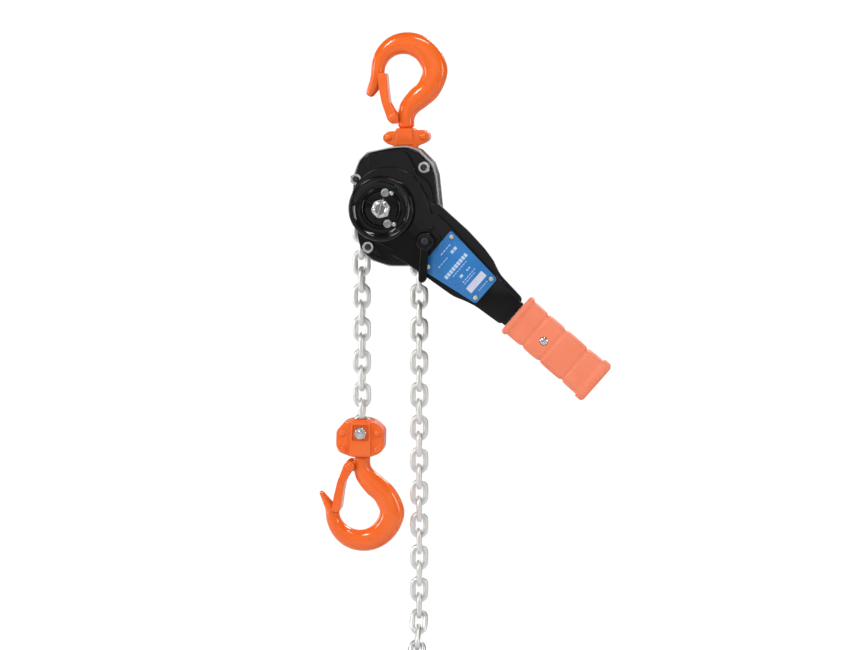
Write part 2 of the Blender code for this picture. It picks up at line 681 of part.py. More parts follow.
def brake():
    """Hub, friction discs and ratchet disc of the load brake, and the drive nut that squeezes them."""
    hub = lathe("friction_hub", [(-34, 5.3), (-34, 9.0), (-23.2, 9.0), (-23.2, 23), (-20.6, 23), (-20.6, 5.3)],
                (0, 0), "steel")
    smooth(hub)
    for name, y0, y1 in (("inner_friction_disc", -25.4, -23.5), ("outer_friction_disc", -32.5, -30.6)):
        ring(name, 9.4, 19.0, y0, y1, (0, 0), "friction_brown")
    teeth = []
    for i in range(12):
        a = math.tau * i / 12
        for r, share in ((21.0, 0.0), (25.5, 0.12), (25.5, 0.3), (22.0, 0.75)):
            b = a + share * math.tau / 12
            teeth.append((r * math.cos(b), r * math.sin(b)))
    ratchet = prism("ratchet_disc", teeth, -30.3, -25.7, "steel")
    cut(ratchet, disc("bore", 9.4, -60, 0, (0, 0), steps=24))
    nut = lathe("drive_nut", [(-37.5, 5.3), (-37.5, 20), (-34.6, 20.5), (-32.8, 20.5), (-32.8, 9.6), (-34.4, 9.6),
                              (-34.4, 5.3)], (0, 0), "steel")
    wheel = []
    for i in range(14):
        for r, share in ((16.5, 0.0), (19.5, 0.22), (19.5, 0.42), (16.5, 0.64)):
            b = math.tau * (i + share) / 14
            wheel.append((r * math.cos(b), r * math.sin(b)))
    gear = prism("gear", wheel, -50.6, -37.0, "steel")
    cut(gear, disc("bore", 5.3, -60, 0, (0, 0), steps=24))
    join(nut, gear)


PAWLS = [(9.4, 35.2), (20.9, -30.0)]


def pawls():
    """Two sprung pawls on studs in the front plate."""
    for i, (x, z) in enumerate(PAWLS, 1):
        stud = lathe(f"pawl_pin_{i}", [(-33, 0), (-33, 3.4), (-16.2, 3.4), (-16.2, 0)], (x, z), "steel", 14)
        smooth(stud)
        out = math.atan2(z, x)
        r = math.hypot(x, z)

        def polar(radius, degrees):
            a = out + math.radians(degrees)
            return (radius * math.cos(a), radius * math.sin(a))

        outline = [polar(r + 6, -4), polar(r + 6, 8), polar(r, 11), polar(28.2, 34), polar(26.2, 35),
                   polar(27.2, 20), polar(30, 6), polar(r - 5.8, -5), polar(r, -10)]
        pawl = prism(f"ratchet_pawl_{i}", outline, -30.0, -26.0, "steel", (x, 0, z))
        cut(pawl, disc("bore", 3.7, -60, 0, (x, z), steps=16))


def hand_wheel():
    """The free-chain wheel: a dished black disc, its castle nut and two stop bolts."""
    profile = [
        (-51.0, SHAFT_R + GAP), (-51.0, 30), (-53, 33.6), (-56, WHEEL_R), (-62, WHEEL_R), (-64, 33.6), (-64.6, 31.6),
        (-62.5, 28.5), (-60.2, 24.5), (-60.2, 21.5), (-62.2, 20.0), (-62.2, 18.6), (-59.6, 17.4), (-59.6, SHAFT_R + GAP),
    ]
    wheel = lathe("hand_wheel", profile, (0, 0), "black_paint", 36)
    for at in WHEEL_BOLTS:
        cut(wheel, disc("bore", 2.8, -70, -40, at, steps=10), disc("seat", 6.2, -70, -59.6, at, steps=16))
        bolt = [(-63.6, 0), (-63.6, 2.2), (-62.4, 3.6), (-61.0, 3.9), (-61.0, 5.6), (-59.9, 5.6), (-59.9, 2.5),
                (-51.3, 2.5), (-51.3, 0)]
        smooth(lathe(f"stop_bolt_{WHEEL_BOLTS.index(at) + 1}", bolt, at, "zinc", 12))
    smooth(wheel)
    nut = prism("castle_nut", hexagon(21.5, (0, 0), 15), -66.2, -59.9, "zinc")
    crown = ring("crown", 5.2, 8.0, -69.5, -66.0, (0, 0), "zinc", 18)
    for turn in (15, 75, 135):
        a = math.radians(turn)
        slot = [(x * math.cos(a) - z * math.sin(a), x * math.sin(a) + z * math.cos(a))
                for x, z in ((-12, -1.3), (12, -1.3), (12, 1.3), (-12, 1.3))]
        cut(crown, prism("slot", slot, -72, -67.4, "zinc"))
    bore = disc("bore", 5.2, -80, -50, (0, 0), steps=18)
    cut(join(bevel(nut, 0.9, 1, 50), crown), bore)


WHEEL_BOLTS = [(4.5, 16.8), (7.0, -15.8)]


# ---- Lever ---------------------------------------------------------------------------------------


SELECTOR = (57.2, 3.9)  # u, v along the lever


def lever_outline(rear):
    """The lever head and arm in the lever's own u, v."""
    hub = circle(40.5, (2.4, 6.4), 18, 62, 285)
    lower = [(37, -32.5), (56, -28), (84, -25), (118, -21.8), (129, -17.7), (142, -14.2), (176, -11.4)]
    upper = [(176, 22), (141, 24.5), (100, 29.0), (68, 33), (45, 34)]
    if rear:
        upper = [(176, 23.8), (141, 27.5), (132, 31), (126, 34), (110, 37.8), (84, 40.8), (54, 41.5), (38, 42)]
    return [along_lever(u, v) for u, v in (*lower, *upper, *hub)]


def lever_shells():
    """The lever's front and rear pressings, each hollow, with the drive nut between them."""
    inner = circle(24, (0, 0), 14, 70, 290)
    hollow = [along_lever(u, v) for u, v in (
        (38, -23), (84, -21), (118, -18), (140, -11), (166, -9), (166, 19), (138, 21), (68, 29), (40, 29), *inner)]
    for name, rear, y0, y1, c0, c1 in (
        ("lever_rear_shell", True, -44.0, -36.6, -46, -38.6), ("lever_front_shell", False, -50.4, -44.3, -48.4, -42),
    ):
        body = bevel(prism(name, [p for p in lever_outline(rear)], y0, y1, "black_paint"), 1.4, 1, 40)
        cut(body, prism("hollow", hollow, c0, c1, "black_paint"))
        cut(body, disc("mouth", 21.0, -60, 0, (0, 0), steps=24))
        if not rear:
            cut(body, disc("bore", 4.3, -60, 0, along_lever(*SELECTOR), steps=16))


def lever_grip():
    """The rubber grip, pushed over the lever's end: a rounded bar with grooves and end flanges."""
    stations = [
        (GRIP_START, 21.5, 10.5), (GRIP_START + 1.5, 24.2, 12.8), (GRIP_START + 5, 24.5, 13.2),
        (GRIP_START + 8, 22.0, 12.0),
    ]
    for u in (207, 231, 262):
        stations += [(u - 3, 22.3, 12.4), (u - 1.5, 20.6, 11.2), (u + 1.5, 20.6, 11.2), (u + 3, 22.3, 12.4)]
    stations += [(GRIP_END - 12, 22.0, 12.0), (GRIP_END - 9, 24.4, 13.4), (GRIP_END - 2, 24.6, 13.4),
                 (GRIP_END, 22.5, 11.5)]
    rings = []
    for u, half, depth in stations:
        r = min(half, depth) * 0.62
        points = []
        for corner, (sv, sy) in enumerate(((1, 1), (-1, 1), (-1, -1), (1, -1))):
            for step in range(3):
                a = math.radians(90 * corner + 45 * step)
                v = GRIP_MID + sv * (half - r) + r * math.cos(a)
                y = -45.0 + sy * (depth - r) + r * math.sin(a)
                x, z = along_lever(u, v)
                points.append(Vector((x, y, z)))
        rings.append(points)
    points = [tuple(p) for r in rings for p in r]
    faces = tube_faces(rings, 0, closed=False)
    faces.append(tuple(range(12)))
    faces.append(tuple(range(len(points) - 12, len(points))))
    grip = add("lever_grip", points, faces, "grip_rubber")
    screw_at = along_lever(221.0, 6.0)
    cut(grip, disc("seat", 4.6, -70, -55.2, screw_at, steps=16, pivot=(0, 0, 0)))
    smooth(grip)
    smooth(lathe("grip_screw", [(-57.2, 0), (-57.2, 2.6), (-56.4, 4.1), (-55.5, 4.1), (-55.5, 0)], screw_at,
                 "zinc", 16))


def name_plate():
    """The plain blue plate riveted to the lever's front."""
    outline = [along_lever(u, v) for u, v in ((70.5, -22.5), (141, -11.8), (141, 23.0), (70.5, 30.2))]
    bevel(prism("name_plate", outline, -51.6, -50.7, "plate_blue"), 0.3, 1, 60)


def selector():
    """The up, neutral and down selector: a round boss with an arm, its spindle, and the pawl inside."""
    at = along_lever(*SELECTOR)
    knob = lathe("selector_knob", [(-45, 0), (-45, 3.9), (-50.8, 3.9), (-50.8, 10.2), (-58.5, 9.6), (-59.8, 8.0),
                                   (-59.8, 0)], at, "black_paint", 28)
    x, z = at
    arm = bevel(prism("arm", [(x - 4.4, z - 2), (x + 4.6, z - 2), (x + 1.6, z - 41), (x - 2, z - 44.5),
                              (x - 6.4, z - 43), (x - 6.8, z - 40)], -58.4, -52.2, "black_paint"), 1.2, 1, 50)
    smooth(join(knob, arm))
    outline = [along_lever(SELECTOR[0] + u, SELECTOR[1] + v) for u, v in (
        (7, -4), (7, 4), (0, 8), (-30, 9.5), (-34, 5), (-30, 4), (-12, 3.5), (-12, -3.5), (-30, -4), (-34, -5),
        (-30, -9.5), (0, -8))]
    prism("changeover_pawl", outline, -44.6, -40.0, "steel", (x, 0, z))


def sub_parts():
    """Every sub-part in turn."""
    side_plates()
    covers()
    fasteners()
    pins_and_bearings()
    stripper()
    sheave()
    gears()
    brake()
    pawls()
    hand_wheel()
    lever_shells()
    lever_grip()
    name_plate()
    selector()
    sheave_chain()
    load_chain()
    free_chain()
    coil, centre = free_coil()
    end_stop(centre)
    chain_bolt()
    top_yoke()
    bottom_yoke()
    bottom = (-RUN_RADIUS - SHANK_X, BOTTOM_YOKE_Z - 21 + YOKE_TOP)
    for prefix, at, flip in (("top", TOP_HOOK, False), ("bottom", bottom, True)):
        latch_lugs(hook(prefix + "_hook", at, flip), at, flip)
        latch(prefix + "_latch", at, flip)
        latch_pin(prefix + "_latch_pin", at, flip)


def main():
    """Clears the scene, then builds the hoist."""
    for obj in list(bpy.data.objects):
        bpy.data.objects.remove(obj)
    sub_parts()


main()
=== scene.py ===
"""Looks of a 1 t lever chain hoist, a come along winch that hangs from its top hook.

Sizes are in millimetres in the frame of the load sheave's axis, as in the part's own source, and
world() turns them into the row's metres. Front, where the hand wheel is, is towards -Y.
"""

import json
import logging
import math
from dataclasses import dataclass, field
from enum import Enum

import bmesh
import bpy
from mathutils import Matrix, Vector

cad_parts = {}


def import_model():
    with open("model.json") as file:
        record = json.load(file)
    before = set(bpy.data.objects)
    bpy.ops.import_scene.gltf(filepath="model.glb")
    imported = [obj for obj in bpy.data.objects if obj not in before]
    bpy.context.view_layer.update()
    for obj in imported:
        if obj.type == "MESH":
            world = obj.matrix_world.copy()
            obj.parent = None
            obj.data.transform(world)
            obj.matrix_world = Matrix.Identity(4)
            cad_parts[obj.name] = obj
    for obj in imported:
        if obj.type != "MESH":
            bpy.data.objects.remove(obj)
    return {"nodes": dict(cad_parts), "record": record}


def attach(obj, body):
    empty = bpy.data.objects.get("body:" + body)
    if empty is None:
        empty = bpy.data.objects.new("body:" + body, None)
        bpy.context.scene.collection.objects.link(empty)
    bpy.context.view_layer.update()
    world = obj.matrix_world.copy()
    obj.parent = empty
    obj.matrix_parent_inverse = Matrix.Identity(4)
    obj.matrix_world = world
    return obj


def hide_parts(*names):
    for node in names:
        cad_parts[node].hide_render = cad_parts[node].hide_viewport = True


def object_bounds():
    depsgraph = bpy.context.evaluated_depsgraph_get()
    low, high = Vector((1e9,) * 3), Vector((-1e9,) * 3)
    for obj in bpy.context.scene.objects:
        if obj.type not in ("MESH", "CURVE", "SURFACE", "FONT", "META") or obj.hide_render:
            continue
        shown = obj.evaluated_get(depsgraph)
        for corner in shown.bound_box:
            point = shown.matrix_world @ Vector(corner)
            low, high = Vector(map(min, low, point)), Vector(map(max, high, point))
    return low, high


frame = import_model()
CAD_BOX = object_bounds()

LOG = logging.getLogger("hoist")
MM = 0.001
SHEAVE = Vector((-16.6, 0.0, -163.0))

Piece = bpy.types.Object
Point = tuple[float, float]
Profile = list[Point]
Rings = list[list[Vector]]
Stations = list[tuple[float, ...]]


def world(x: float, y: float, z: float) -> Vector:
    """Gives a point of the sheave's frame, in mm, in the row's metres."""
    return (Vector((x, y, z)) + SHEAVE) * MM


# ---- Finishes ------------------------------------------------------------------------------------


class Grain(Enum):
    """How a finish's surface is broken up."""

    ORANGE_PEEL = "sprayed paint"
    PLATED = "zinc plate"
    MACHINED = "turned or milled steel"
    MOULDED = "moulded rubber"
    PRINTED = "printed foil"
    LINING = "friction lining"


class NodeTree:
    """The nodes of a material or of the surround."""

    def __init__(self, owner: bpy.types.Material | bpy.types.World) -> None:
        """Turns the owner's nodes on.

        Args:
            owner: The material or the surround.
        """
        owner.use_nodes = True
        self.nodes = owner.node_tree.nodes
        self.links = owner.node_tree.links

    def add(self, kind: str, values: dict | None = None, **options: str) -> bpy.types.Node:
        """Adds a node.

        Args:
            kind: Its type, without the leading ShaderNode.
            values: What goes into each input, as feed() takes it.
            options: The node's own settings.

        Returns:
            The node.
        """
        node = self.nodes.new("ShaderNode" + kind)
        for name, value in options.items():
            setattr(node, name, value)
        return self.feed(node, values or {})

    def feed(self, node: bpy.types.Node, values: dict) -> bpy.types.Node:
        """Fills a node's inputs.

        Args:
            node: The node.
            values: For each input's name or number, a value or the socket that feeds it.

        Returns:
            The node.
        """
        for key, value in values.items():
            if isinstance(value, bpy.types.NodeSocket):
                self.links.new(value, node.inputs[key])
            else:
                node.inputs[key].default_value = value
        return node

    def maths(self, operation: str, *values: float | bpy.types.NodeSocket) -> bpy.types.NodeSocket:
        """Gives the result of a sum on values or sockets."""
        return self.add("Math", dict(enumerate(values)), operation=operation).outputs[0]


@dataclass(frozen=True)
class Finish:
    """One surface finish, made of nodes.

    Attributes:
        name: The material's name.
        colour: Linear base colour.
        accent: Linear colour that the base drifts to in patches.
        grain: The kind of surface.
        roughness: Lowest and highest roughness.
        metallic: 0 or 1.
        cell: Size of the fine grain, in mm.
        patch: Size of the colour patches, in mm.
        relief: Height of the grain, in mm.
        coat: Weight of a clear coat.
        mirror: Strength of the uncoated surface's reflection, 0.5 for plain plastic or paint.
    """

    name: str
    colour: tuple[float, float, float]
    accent: tuple[float, float, float]
    grain: Grain
    roughness: Point
    metallic: float = 0.0
    cell: float = 1.0
    patch: float = 25.0
    relief: float = 0.02
    coat: float = 0.0
    mirror: float = 0.5

    def material(self) -> bpy.types.Material:
        """Builds the material once.

        Returns:
            The material, the same one at each call.
        """
        known = bpy.data.materials.get(self.name)
        if known:
            return known
        material = bpy.data.materials.new(self.name)
        tree = NodeTree(material)
        place = tree.add("TexCoord").outputs["Object"]
        patches = self._noise(tree, place, self.patch, 3.0)
        fine = self._fine(tree, place)
        share = self._spread(tree, patches, 0.0, 1.0)
        ends = {"A": (*self.colour, 1), "B": (*self.accent, 1), "Factor": share}
        drift = tree.add("Mix", ends, data_type="RGBA")
        worn = tree.maths("MULTIPLY_ADD", fine, 0.5, tree.maths("MULTIPLY", patches, 0.5))
        bump = tree.add("Bump", {"Distance": self.relief * MM, "Strength": 1.0, "Height": fine})
        tree.feed(tree.nodes["Principled BSDF"], {
            "Metallic": self.metallic, "Specular IOR Level": self.mirror, "Coat Weight": self.coat,
            "Coat Roughness": 0.08, "Base Color": drift.outputs["Result"],
            "Roughness": self._spread(tree, worn, *self.roughness), "Normal": bump.outputs["Normal"],
        })
        return material

    @staticmethod
    def _noise(tree: NodeTree, place: bpy.types.NodeSocket, size: float, detail: float) -> bpy.types.NodeSocket:
        """Gives a noise of the given size, in mm, and octaves."""
        values = {"Vector": place, "Scale": 1 / (size * MM), "Detail": detail}
        return tree.add("TexNoise", values).outputs["Fac"]

    def _fine(self, tree: NodeTree, place: bpy.types.NodeSocket) -> bpy.types.NodeSocket:
        """Adds the fine grain that this kind of surface has.

        Args:
            tree: The material's nodes.
            place: The coordinate socket.

        Returns:
            The grain's height, 0 to 1.
        """
        if self.grain in (Grain.PLATED, Grain.MOULDED):
            return tree.add("TexVoronoi", {"Vector": place, "Scale": 1 / (self.cell * MM)}).outputs["Distance"]
        if self.grain is Grain.MACHINED:
            place = tree.add("Mapping", {"Vector": place, "Scale": (1.0, 9.0, 1.0)}).outputs["Vector"]
        return self._noise(tree, place, self.cell, 2.0)

    @staticmethod
    def _spread(tree: NodeTree, value: bpy.types.NodeSocket, low: float, high: float) -> bpy.types.NodeSocket:
        """Spreads a noise value, mostly 0.3 to 0.7, over a range.

        Args:
            tree: The material's nodes.
            value: The socket to spread.
            low: The lowest result.
            high: The highest result.

        Returns:
            The spread value.
        """
        limits = {"From Min": 0.3, "From Max": 0.7, "To Min": low, "To Max": high}
        return tree.add("MapRange", {"Value": value, **limits}).outputs["Result"]


BLACK_PAINT = Finish("gloss_black_paint", (0.003, 0.003, 0.0035), (0.005, 0.005, 0.006), Grain.ORANGE_PEEL,
                     (0.08, 0.16), cell=1.6, patch=40, relief=0.005, mirror=0.26)
PLATE_BLACK = Finish("satin_black_plate", (0.002, 0.002, 0.0025), (0.004, 0.004, 0.005), Grain.ORANGE_PEEL,
                     (0.26, 0.4), cell=1.2, patch=20, relief=0.012, mirror=0.18)
HOOK_ORANGE = Finish("hook_orange_paint", (0.86, 0.125, 0.008), (0.89, 0.145, 0.012), Grain.ORANGE_PEEL,
                     (0.14, 0.24), cell=2.6, patch=30, relief=0.006, coat=0.25)
ZINC = Finish("bright_zinc", (0.74, 0.74, 0.73), (0.58, 0.59, 0.6), Grain.PLATED, (0.18, 0.3), 1.0,
              cell=0.5, patch=7, relief=0.005)
CHAIN_ZINC = Finish("chain_zinc", (0.78, 0.79, 0.82), (0.5, 0.512, 0.54), Grain.PLATED, (0.1, 0.2), 1.0,
                    cell=0.6, patch=6, relief=0.006)
# Dark steel for the selector screw; on the stud ends in the cover nuts the same dark colour is painted shade.
DARK_STEEL_AND_SHADE = Finish("dark_steel_and_painted_shade", (0.09, 0.09, 0.095), (0.05, 0.05, 0.055), Grain.MACHINED, (0.3, 0.42),
                    1.0, cell=0.8, patch=5, relief=0.008)
STEEL = Finish("machined_steel", (0.42, 0.42, 0.43), (0.3, 0.3, 0.31), Grain.MACHINED, (0.3, 0.45), 1.0,
               cell=1.0, patch=12, relief=0.008)
RUBBER = Finish("salmon_grip_rubber", (0.86, 0.21, 0.105), (0.9, 0.25, 0.135), Grain.MOULDED, (0.5, 0.68),
                cell=0.7, patch=30, relief=0.03)
BLUE_FOIL = Finish("blue_plate_foil", (0.012, 0.15, 0.44), (0.018, 0.185, 0.5), Grain.PRINTED, (0.24, 0.36),
                   cell=2.0, patch=30, relief=0.004, coat=0.3)
WHITE_INK = Finish("pale_ink", (0.5, 0.62, 0.8), (0.4, 0.54, 0.76), Grain.PRINTED, (0.35, 0.5),
                   cell=1.0, patch=6, relief=0.003)
BAND_INK = Finish("serial_band_ink", (0.6, 0.62, 0.74), (0.52, 0.55, 0.7), Grain.PRINTED, (0.35, 0.5),
                  cell=1.0, patch=6, relief=0.003)
BRASS = Finish("rivet_brass", (0.8, 0.72, 0.55), (0.7, 0.6, 0.42), Grain.PLATED, (0.25, 0.4), 1.0,
               cell=0.4, patch=3, relief=0.005)
LINING = Finish("friction_lining", (0.11, 0.065, 0.04), (0.15, 0.09, 0.06), Grain.LINING, (0.7, 0.9),
                cell=0.6, patch=5, relief=0.04)
TIE = Finish("tie_nylon", (0.02, 0.02, 0.022), (0.03, 0.03, 0.032), Grain.PRINTED, (0.35, 0.5), cell=0.8,
             patch=8, relief=0.01)
CARRIED = {
    "black_paint": PLATE_BLACK, "zinc": ZINC, "chain_zinc": CHAIN_ZINC, "coil_zinc": CHAIN_ZINC, "steel": STEEL,
    "hook_orange": HOOK_ORANGE, "grip_rubber": RUBBER, "plate_blue": BLUE_FOIL, "friction_brown": LINING,
}


# ---- Mesh work -----------------------------------------------------------------------------------


def solid(name: str, points: list[Vector], faces: list[tuple[int, ...]], finish: Finish | None) -> Piece:
    """Makes a closed piece from world points, its normals facing out.

    Args:
        name: The piece's name.
        points: World points, in metres.
        faces: Faces as indices.
        finish: Its finish; a tool that another piece uses up needs none.

    Returns:
        The piece.
    """
    mesh = bpy.data.meshes.new(name)
    mesh.from_pydata([tuple(p) for p in points], [], faces)
    work = bmesh.new()
    work.from_mesh(mesh)
    bmesh.ops.recalc_face_normals(work, faces=work.faces)
    work.to_mesh(mesh)
    work.free()
    if finish:
        mesh.materials.append(finish.material())
    piece = bpy.data.objects.new(name, mesh)
    bpy.context.scene.collection.objects.link(piece)
    return piece


def skin(rings: Rings, start: int = 0, closed: bool = False) -> list[tuple[int, ...]]:
    """Gives the faces that join rings of points.

    Args:
        rings: Rings with the same number of points.
        start: The first point's index.
        closed: Whether the last ring joins the first.

    Returns:
        The faces, with a cap at each end of an open run.
    """
    n, sides = len(rings), len(rings[0])
    faces = []
    for i in range(n if closed else n - 1):
        a, b = start + i * sides, start + (i + 1) % n * sides
        for k in range(sides):
            m = (k + 1) % sides
            faces.append((a + k, a + m, b + m, b + k))
    if not closed:
        faces.append(tuple(range(start, start + sides)))
        faces.append(tuple(range(start + (n - 1) * sides, start + n * sides)))
    return faces


def loft(name: str, rings: Rings, finish: Finish | None = None, closed: bool = False) -> Piece:
    """Makes a piece from rings of world points."""
    return solid(name, [p for ring in rings for p in ring], skin(rings, 0, closed), finish)


def prism(name: str, outline: Profile, y0: float, y1: float, finish: Finish | None = None) -> Piece:
    """Makes a piece by pushing an XZ outline between y0 and y1, given in either order."""
    return loft(name, [[world(x, y, z) for x, z in outline] for y in sorted((y0, y1))], finish)


def turned(name: str, profile: Profile, centre: Point = (0, 0), finish: Finish | None = None,
           steps: int = 48) -> Piece:
    """Turns a profile of (y, r) round the Y axis through centre.

    Args:
        name: The piece's name.
        profile: Points of (y, r); one that starts and ends at r 0 makes a solid, any other a ring.
        centre: The axis's X and Z.
        finish: Its finish.
        steps: Steps round the turn.

    Returns:
        The piece.
    """
    is_solid = profile[0][1] == 0
    stations = profile[1:-1] if is_solid else profile
    rings = [[world(x, y, z) for x, z in arc(r, centre, steps)] for y, r in stations]
    return loft(name, rings, finish, closed=not is_solid)


def rod(name: str, path: list[Vector], radius: float, finish: Finish, sides: int = 12) -> Piece:
    """Makes a round bar along world points.

    Args:
        name: The piece's name.
        path: World points, in metres.
        radius: Its radius, in mm.
        finish: Its finish.
        sides: Sides of its section.

    Returns:
        The piece.
    """
    rings = []
    across = Vector((0, 1, 0))
    for i, point in enumerate(path):
        along = (path[min(i + 1, len(path) - 1)] - path[max(i - 1, 0)]).normalized()
        across = (across - along * across.dot(along)).normalized()
        other = along.cross(across)
        rings.append([point + (across * c + other * s) * MM for c, s in arc(radius, steps=sides)])
    return loft(name, rings, finish)


def applied(piece: Piece) -> Piece:
    """Makes a piece's modifiers real.

    Args:
        piece: The piece.

    Returns:
        The same piece with its new mesh.
    """
    bpy.context.view_layer.update()
    graph = bpy.context.evaluated_depsgraph_get()
    mesh = bpy.data.meshes.new_from_object(piece.evaluated_get(graph))
    piece.modifiers.clear()
    piece.data = mesh
    return piece


def combined(piece: Piece, others: tuple[Piece, ...], operation: str) -> Piece:
    """Applies exact booleans and uses up the other pieces.

    Args:
        piece: The piece that stays.
        others: The pieces that are used up.
        operation: DIFFERENCE, UNION or INTERSECT.

    Returns:
        The piece.
    """
    for other in others:
        modifier = piece.modifiers.new("boolean", "BOOLEAN")
        modifier.solver = "EXACT"
        modifier.operation = operation
        modifier.object = other
        applied(piece)
        bpy.data.objects.remove(other)
    return piece


def cut(piece: Piece, *others: Piece) -> Piece:
    """Takes the others out of a piece."""
    return combined(piece, others, "DIFFERENCE")


def join(piece: Piece, *others: Piece) -> Piece:
    """Makes the others one body with a piece."""
    return combined(piece, others, "UNION")


def drilled(piece: Piece, at: Point, radius: float, steps: int = 24, low: float = -80,
            high: float = 80) -> Piece:
    """Takes a round hole out of a piece along Y.

    Args:
        piece: The piece.
        at: The hole's X and Z.
        radius: Its radius.
        steps: Steps round it.
        low: Where it starts; it goes right through if left out.
        high: Where it ends.

    Returns:
        The piece.
    """
    return cut(piece, turned("hole", [(low, 0), (low, radius), (high, radius), (high, 0)], at, None, steps))


def rounded(piece: Piece, width: float, steps: int = 3, angle: float = 30) -> Piece:
    """Rounds a piece's edges.

    Args:
        piece: The piece.
        width: Width of the rounding, in mm.
        steps: Faces across it.
        angle: Edges sharper than this are rounded, in degrees.

    Returns:
        The piece.
    """
    modifier = piece.modifiers.new("bevel", "BEVEL")
    modifier.width = width * MM
    modifier.segments = steps
    modifier.limit_method = "ANGLE"
    modifier.angle_limit = math.radians(angle)
    return applied(piece)


def finished(piece: Piece, body: str, node: str | None = None,
             angle: float = 38) -> Piece:
    """Shades a piece smooth and hands it to the frame.

    Args:
        piece: The piece.
        body: The body that it rides on.
        node: The CAD node that it stands for, if any.
        angle: Edges sharper than this stay crisp, in degrees.

    Returns:
        The piece.
    """
    work = bmesh.new()
    work.from_mesh(piece.data)
    for face in work.faces:
        face.smooth = True
    for edge in work.edges:
        edge.smooth = len(edge.link_faces) == 2 and edge.calc_face_angle(0) < math.radians(angle)
    work.to_mesh(piece.data)
    work.free()
    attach(piece, body)
    if node:
        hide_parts(node)
    LOG.info("%s rides on %s", piece.name, body)
    return piece


def arc(r: float, centre: Point = (0, 0), steps: int = 48, start: float = 0, end: float = 360) -> Profile:
    """Gives points on an arc, without the last where it closes.

    Args:
        r: Its radius.
        centre: Its centre.
        steps: Steps from start to end.
        start: Where it starts, in degrees.
        end: Where it ends.

    Returns:
        The points.
    """
    count = steps if abs(end - start) >= 360 else steps + 1
    angles = [math.radians(start + (end - start) * i / steps) for i in range(count)]
    return [(centre[0] + r * math.cos(a), centre[1] + r * math.sin(a)) for a in angles]


def swung(outline: Profile, degrees: float) -> Profile:
    """Turns an outline about the sheave's axis."""
    c, s = math.cos(math.radians(degrees)), math.sin(math.radians(degrees))
    return [(x * c - z * s, x * s + z * c) for x, z in outline]


def softened(outline: Profile, radius: float, steps: int = 4) -> Profile:
    """Rounds an outline's corners.

    Args:
        outline: Corner points, in order.
        radius: How far from each corner its curve starts, in mm.
        steps: Points on each curve.

    Returns:
        The outline with a curve at each corner.
    """
    result = []
    n = len(outline)
    for i in range(n):
        a, b, c = (Vector(outline[(i + k) % n]) for k in (-1, 0, 1))
        reach = min(radius, (a - b).length * 0.45, (c - b).length * 0.45)
        first, last = b + (a - b).normalized() * reach, b + (c - b).normalized() * reach
        for s in range(steps + 1):
            t = s / steps
            result.append(tuple(first * (1 - t) ** 2 + b * 2 * t * (1 - t) + last * t * t))
    return result


def inset(outline: Profile, by: float) -> Profile:
    """Moves an outline in.

    Args:
        outline: A convex outline, or nearly so.
        by: How far, in mm.

    Returns:
        The smaller outline.
    """
    n = len(outline)
    moved = []
    for i in range(n):
        a, b, c = (Vector(outline[(i + k) % n]) for k in (-1, 0, 1))
        first, second = (b - a).normalized(), (c - b).normalized()
        right = Vector((-second.y, second.x))
        normal = (Vector((-first.y, first.x)) + right).normalized()
        moved.append(tuple(b - normal * by / max(0.3, normal.dot(right))))
    return moved


def smooth_run(stations: Stations, per_span: int) -> Stations:
    """Passes a smooth curve through stations of any numbers.

    Args:
        stations: Stations in order.
        per_span: Points on each span.

    Returns:
        The stations with points between them.
    """
    result = []
    for i in range(len(stations) - 1):
        near = [stations[min(max(i + k, 0), len(stations) - 1)] for k in (-1, 0, 1, 2)]
        for t in (s / per_span for s in range(per_span)):
            result.append(tuple(
                0.5 * (2 * b + (c - a) * t + (2 * a - 5 * b + 4 * c - d) * t * t
                       + (3 * b - a - 3 * c + d) * t ** 3)
                for a, b, c, d in zip(*near)
            ))
    return [*result, stations[-1]]


def hex_head(name: str, at: Point, across: float, y0: float, y1: float, finish: Finish,
             turn: float = 0.0) -> Piece:
    """Makes a hexagon nut or bolt head whose corners a cone has chamfered.

    Args:
        name: The piece's name.
        at: Its centre.
        across: Size across the corners.
        y0: Its front end.
        y1: Its back end.
        finish: Its finish.
        turn: Degrees that it is turned about its axis.

    Returns:
        The head.
    """
    r = across / 2
    slope = r * 0.17
    body = prism(name, arc(r, at, 6, turn, 360 + turn), y0, y1, finish)
    cone = turned("chamfer", [(y0, 0), (y0, r * 0.85), (y0 + slope, r * 1.02), (y1 - slope, r * 1.02),
                              (y1, r * 0.85), (y1, 0)], at, None, 36)
    return rounded(combined(body, (cone,), "INTERSECT"), 0.25, 2, 25)


# ---- Shared driving sizes ------------------------------------------------------------------------

WIRE = 6.0
PITCH = 18.0
LINK_WIDTH = 20.0
RUN_RADIUS = PITCH / (2 * math.sin(math.radians(18)))
JUNCTION = 0.8
SHANK_X = 3.2
YOKE_TOP = -79.0
TOP_HOOK = (16.6, 163.0)
BOTTOM_YOKE_Z = -253.0
BOTTOM_HOOK = (-RUN_RADIUS - SHANK_X, BOTTOM_YOKE_Z - 21 + YOKE_TOP)
LEVER_ANGLE = -40.5
OUTLINE = [
    (-29, 50), (-20.5, 58.5), (5, 64), (23, 65.5), (36, 61), (50, 47), (54.5, 34), (58.5, -5),
    (55, -32), (42, -52), (26, -64), (3.5, -64), (-15, -58), (-27, -48), (-32, -30), (-36, 18), (-34, 37),
]
BRAKE_DOME = [
    (-31, 14), (-24, 20), (-17.5, 30), (-16.5, 53.5), (-12.5, 57), (6, 59.4), (20, 60.4), (25, 57),
    (29.5, 48.5), (33.5, 40), (37.5, 33.5), (45, 29), (50, 21), (52.8, 3), (53.4, -5), (50, -29.5),
    (39.5, -47.5), (24.5, -58.8), (4.5, -58.8), (-9, -54.5), (-12, -50), (-9.5, -41), (-14, -34.5),
    (-24, -33.5), (-27, -29),
]
COVER_NUTS = [(-30.9, 29.7), (42.0, 42.6)]
LOW_BOLT = (15.0, -56.0)
STUD = (-18.1, -42.8)
GAP = 0.3


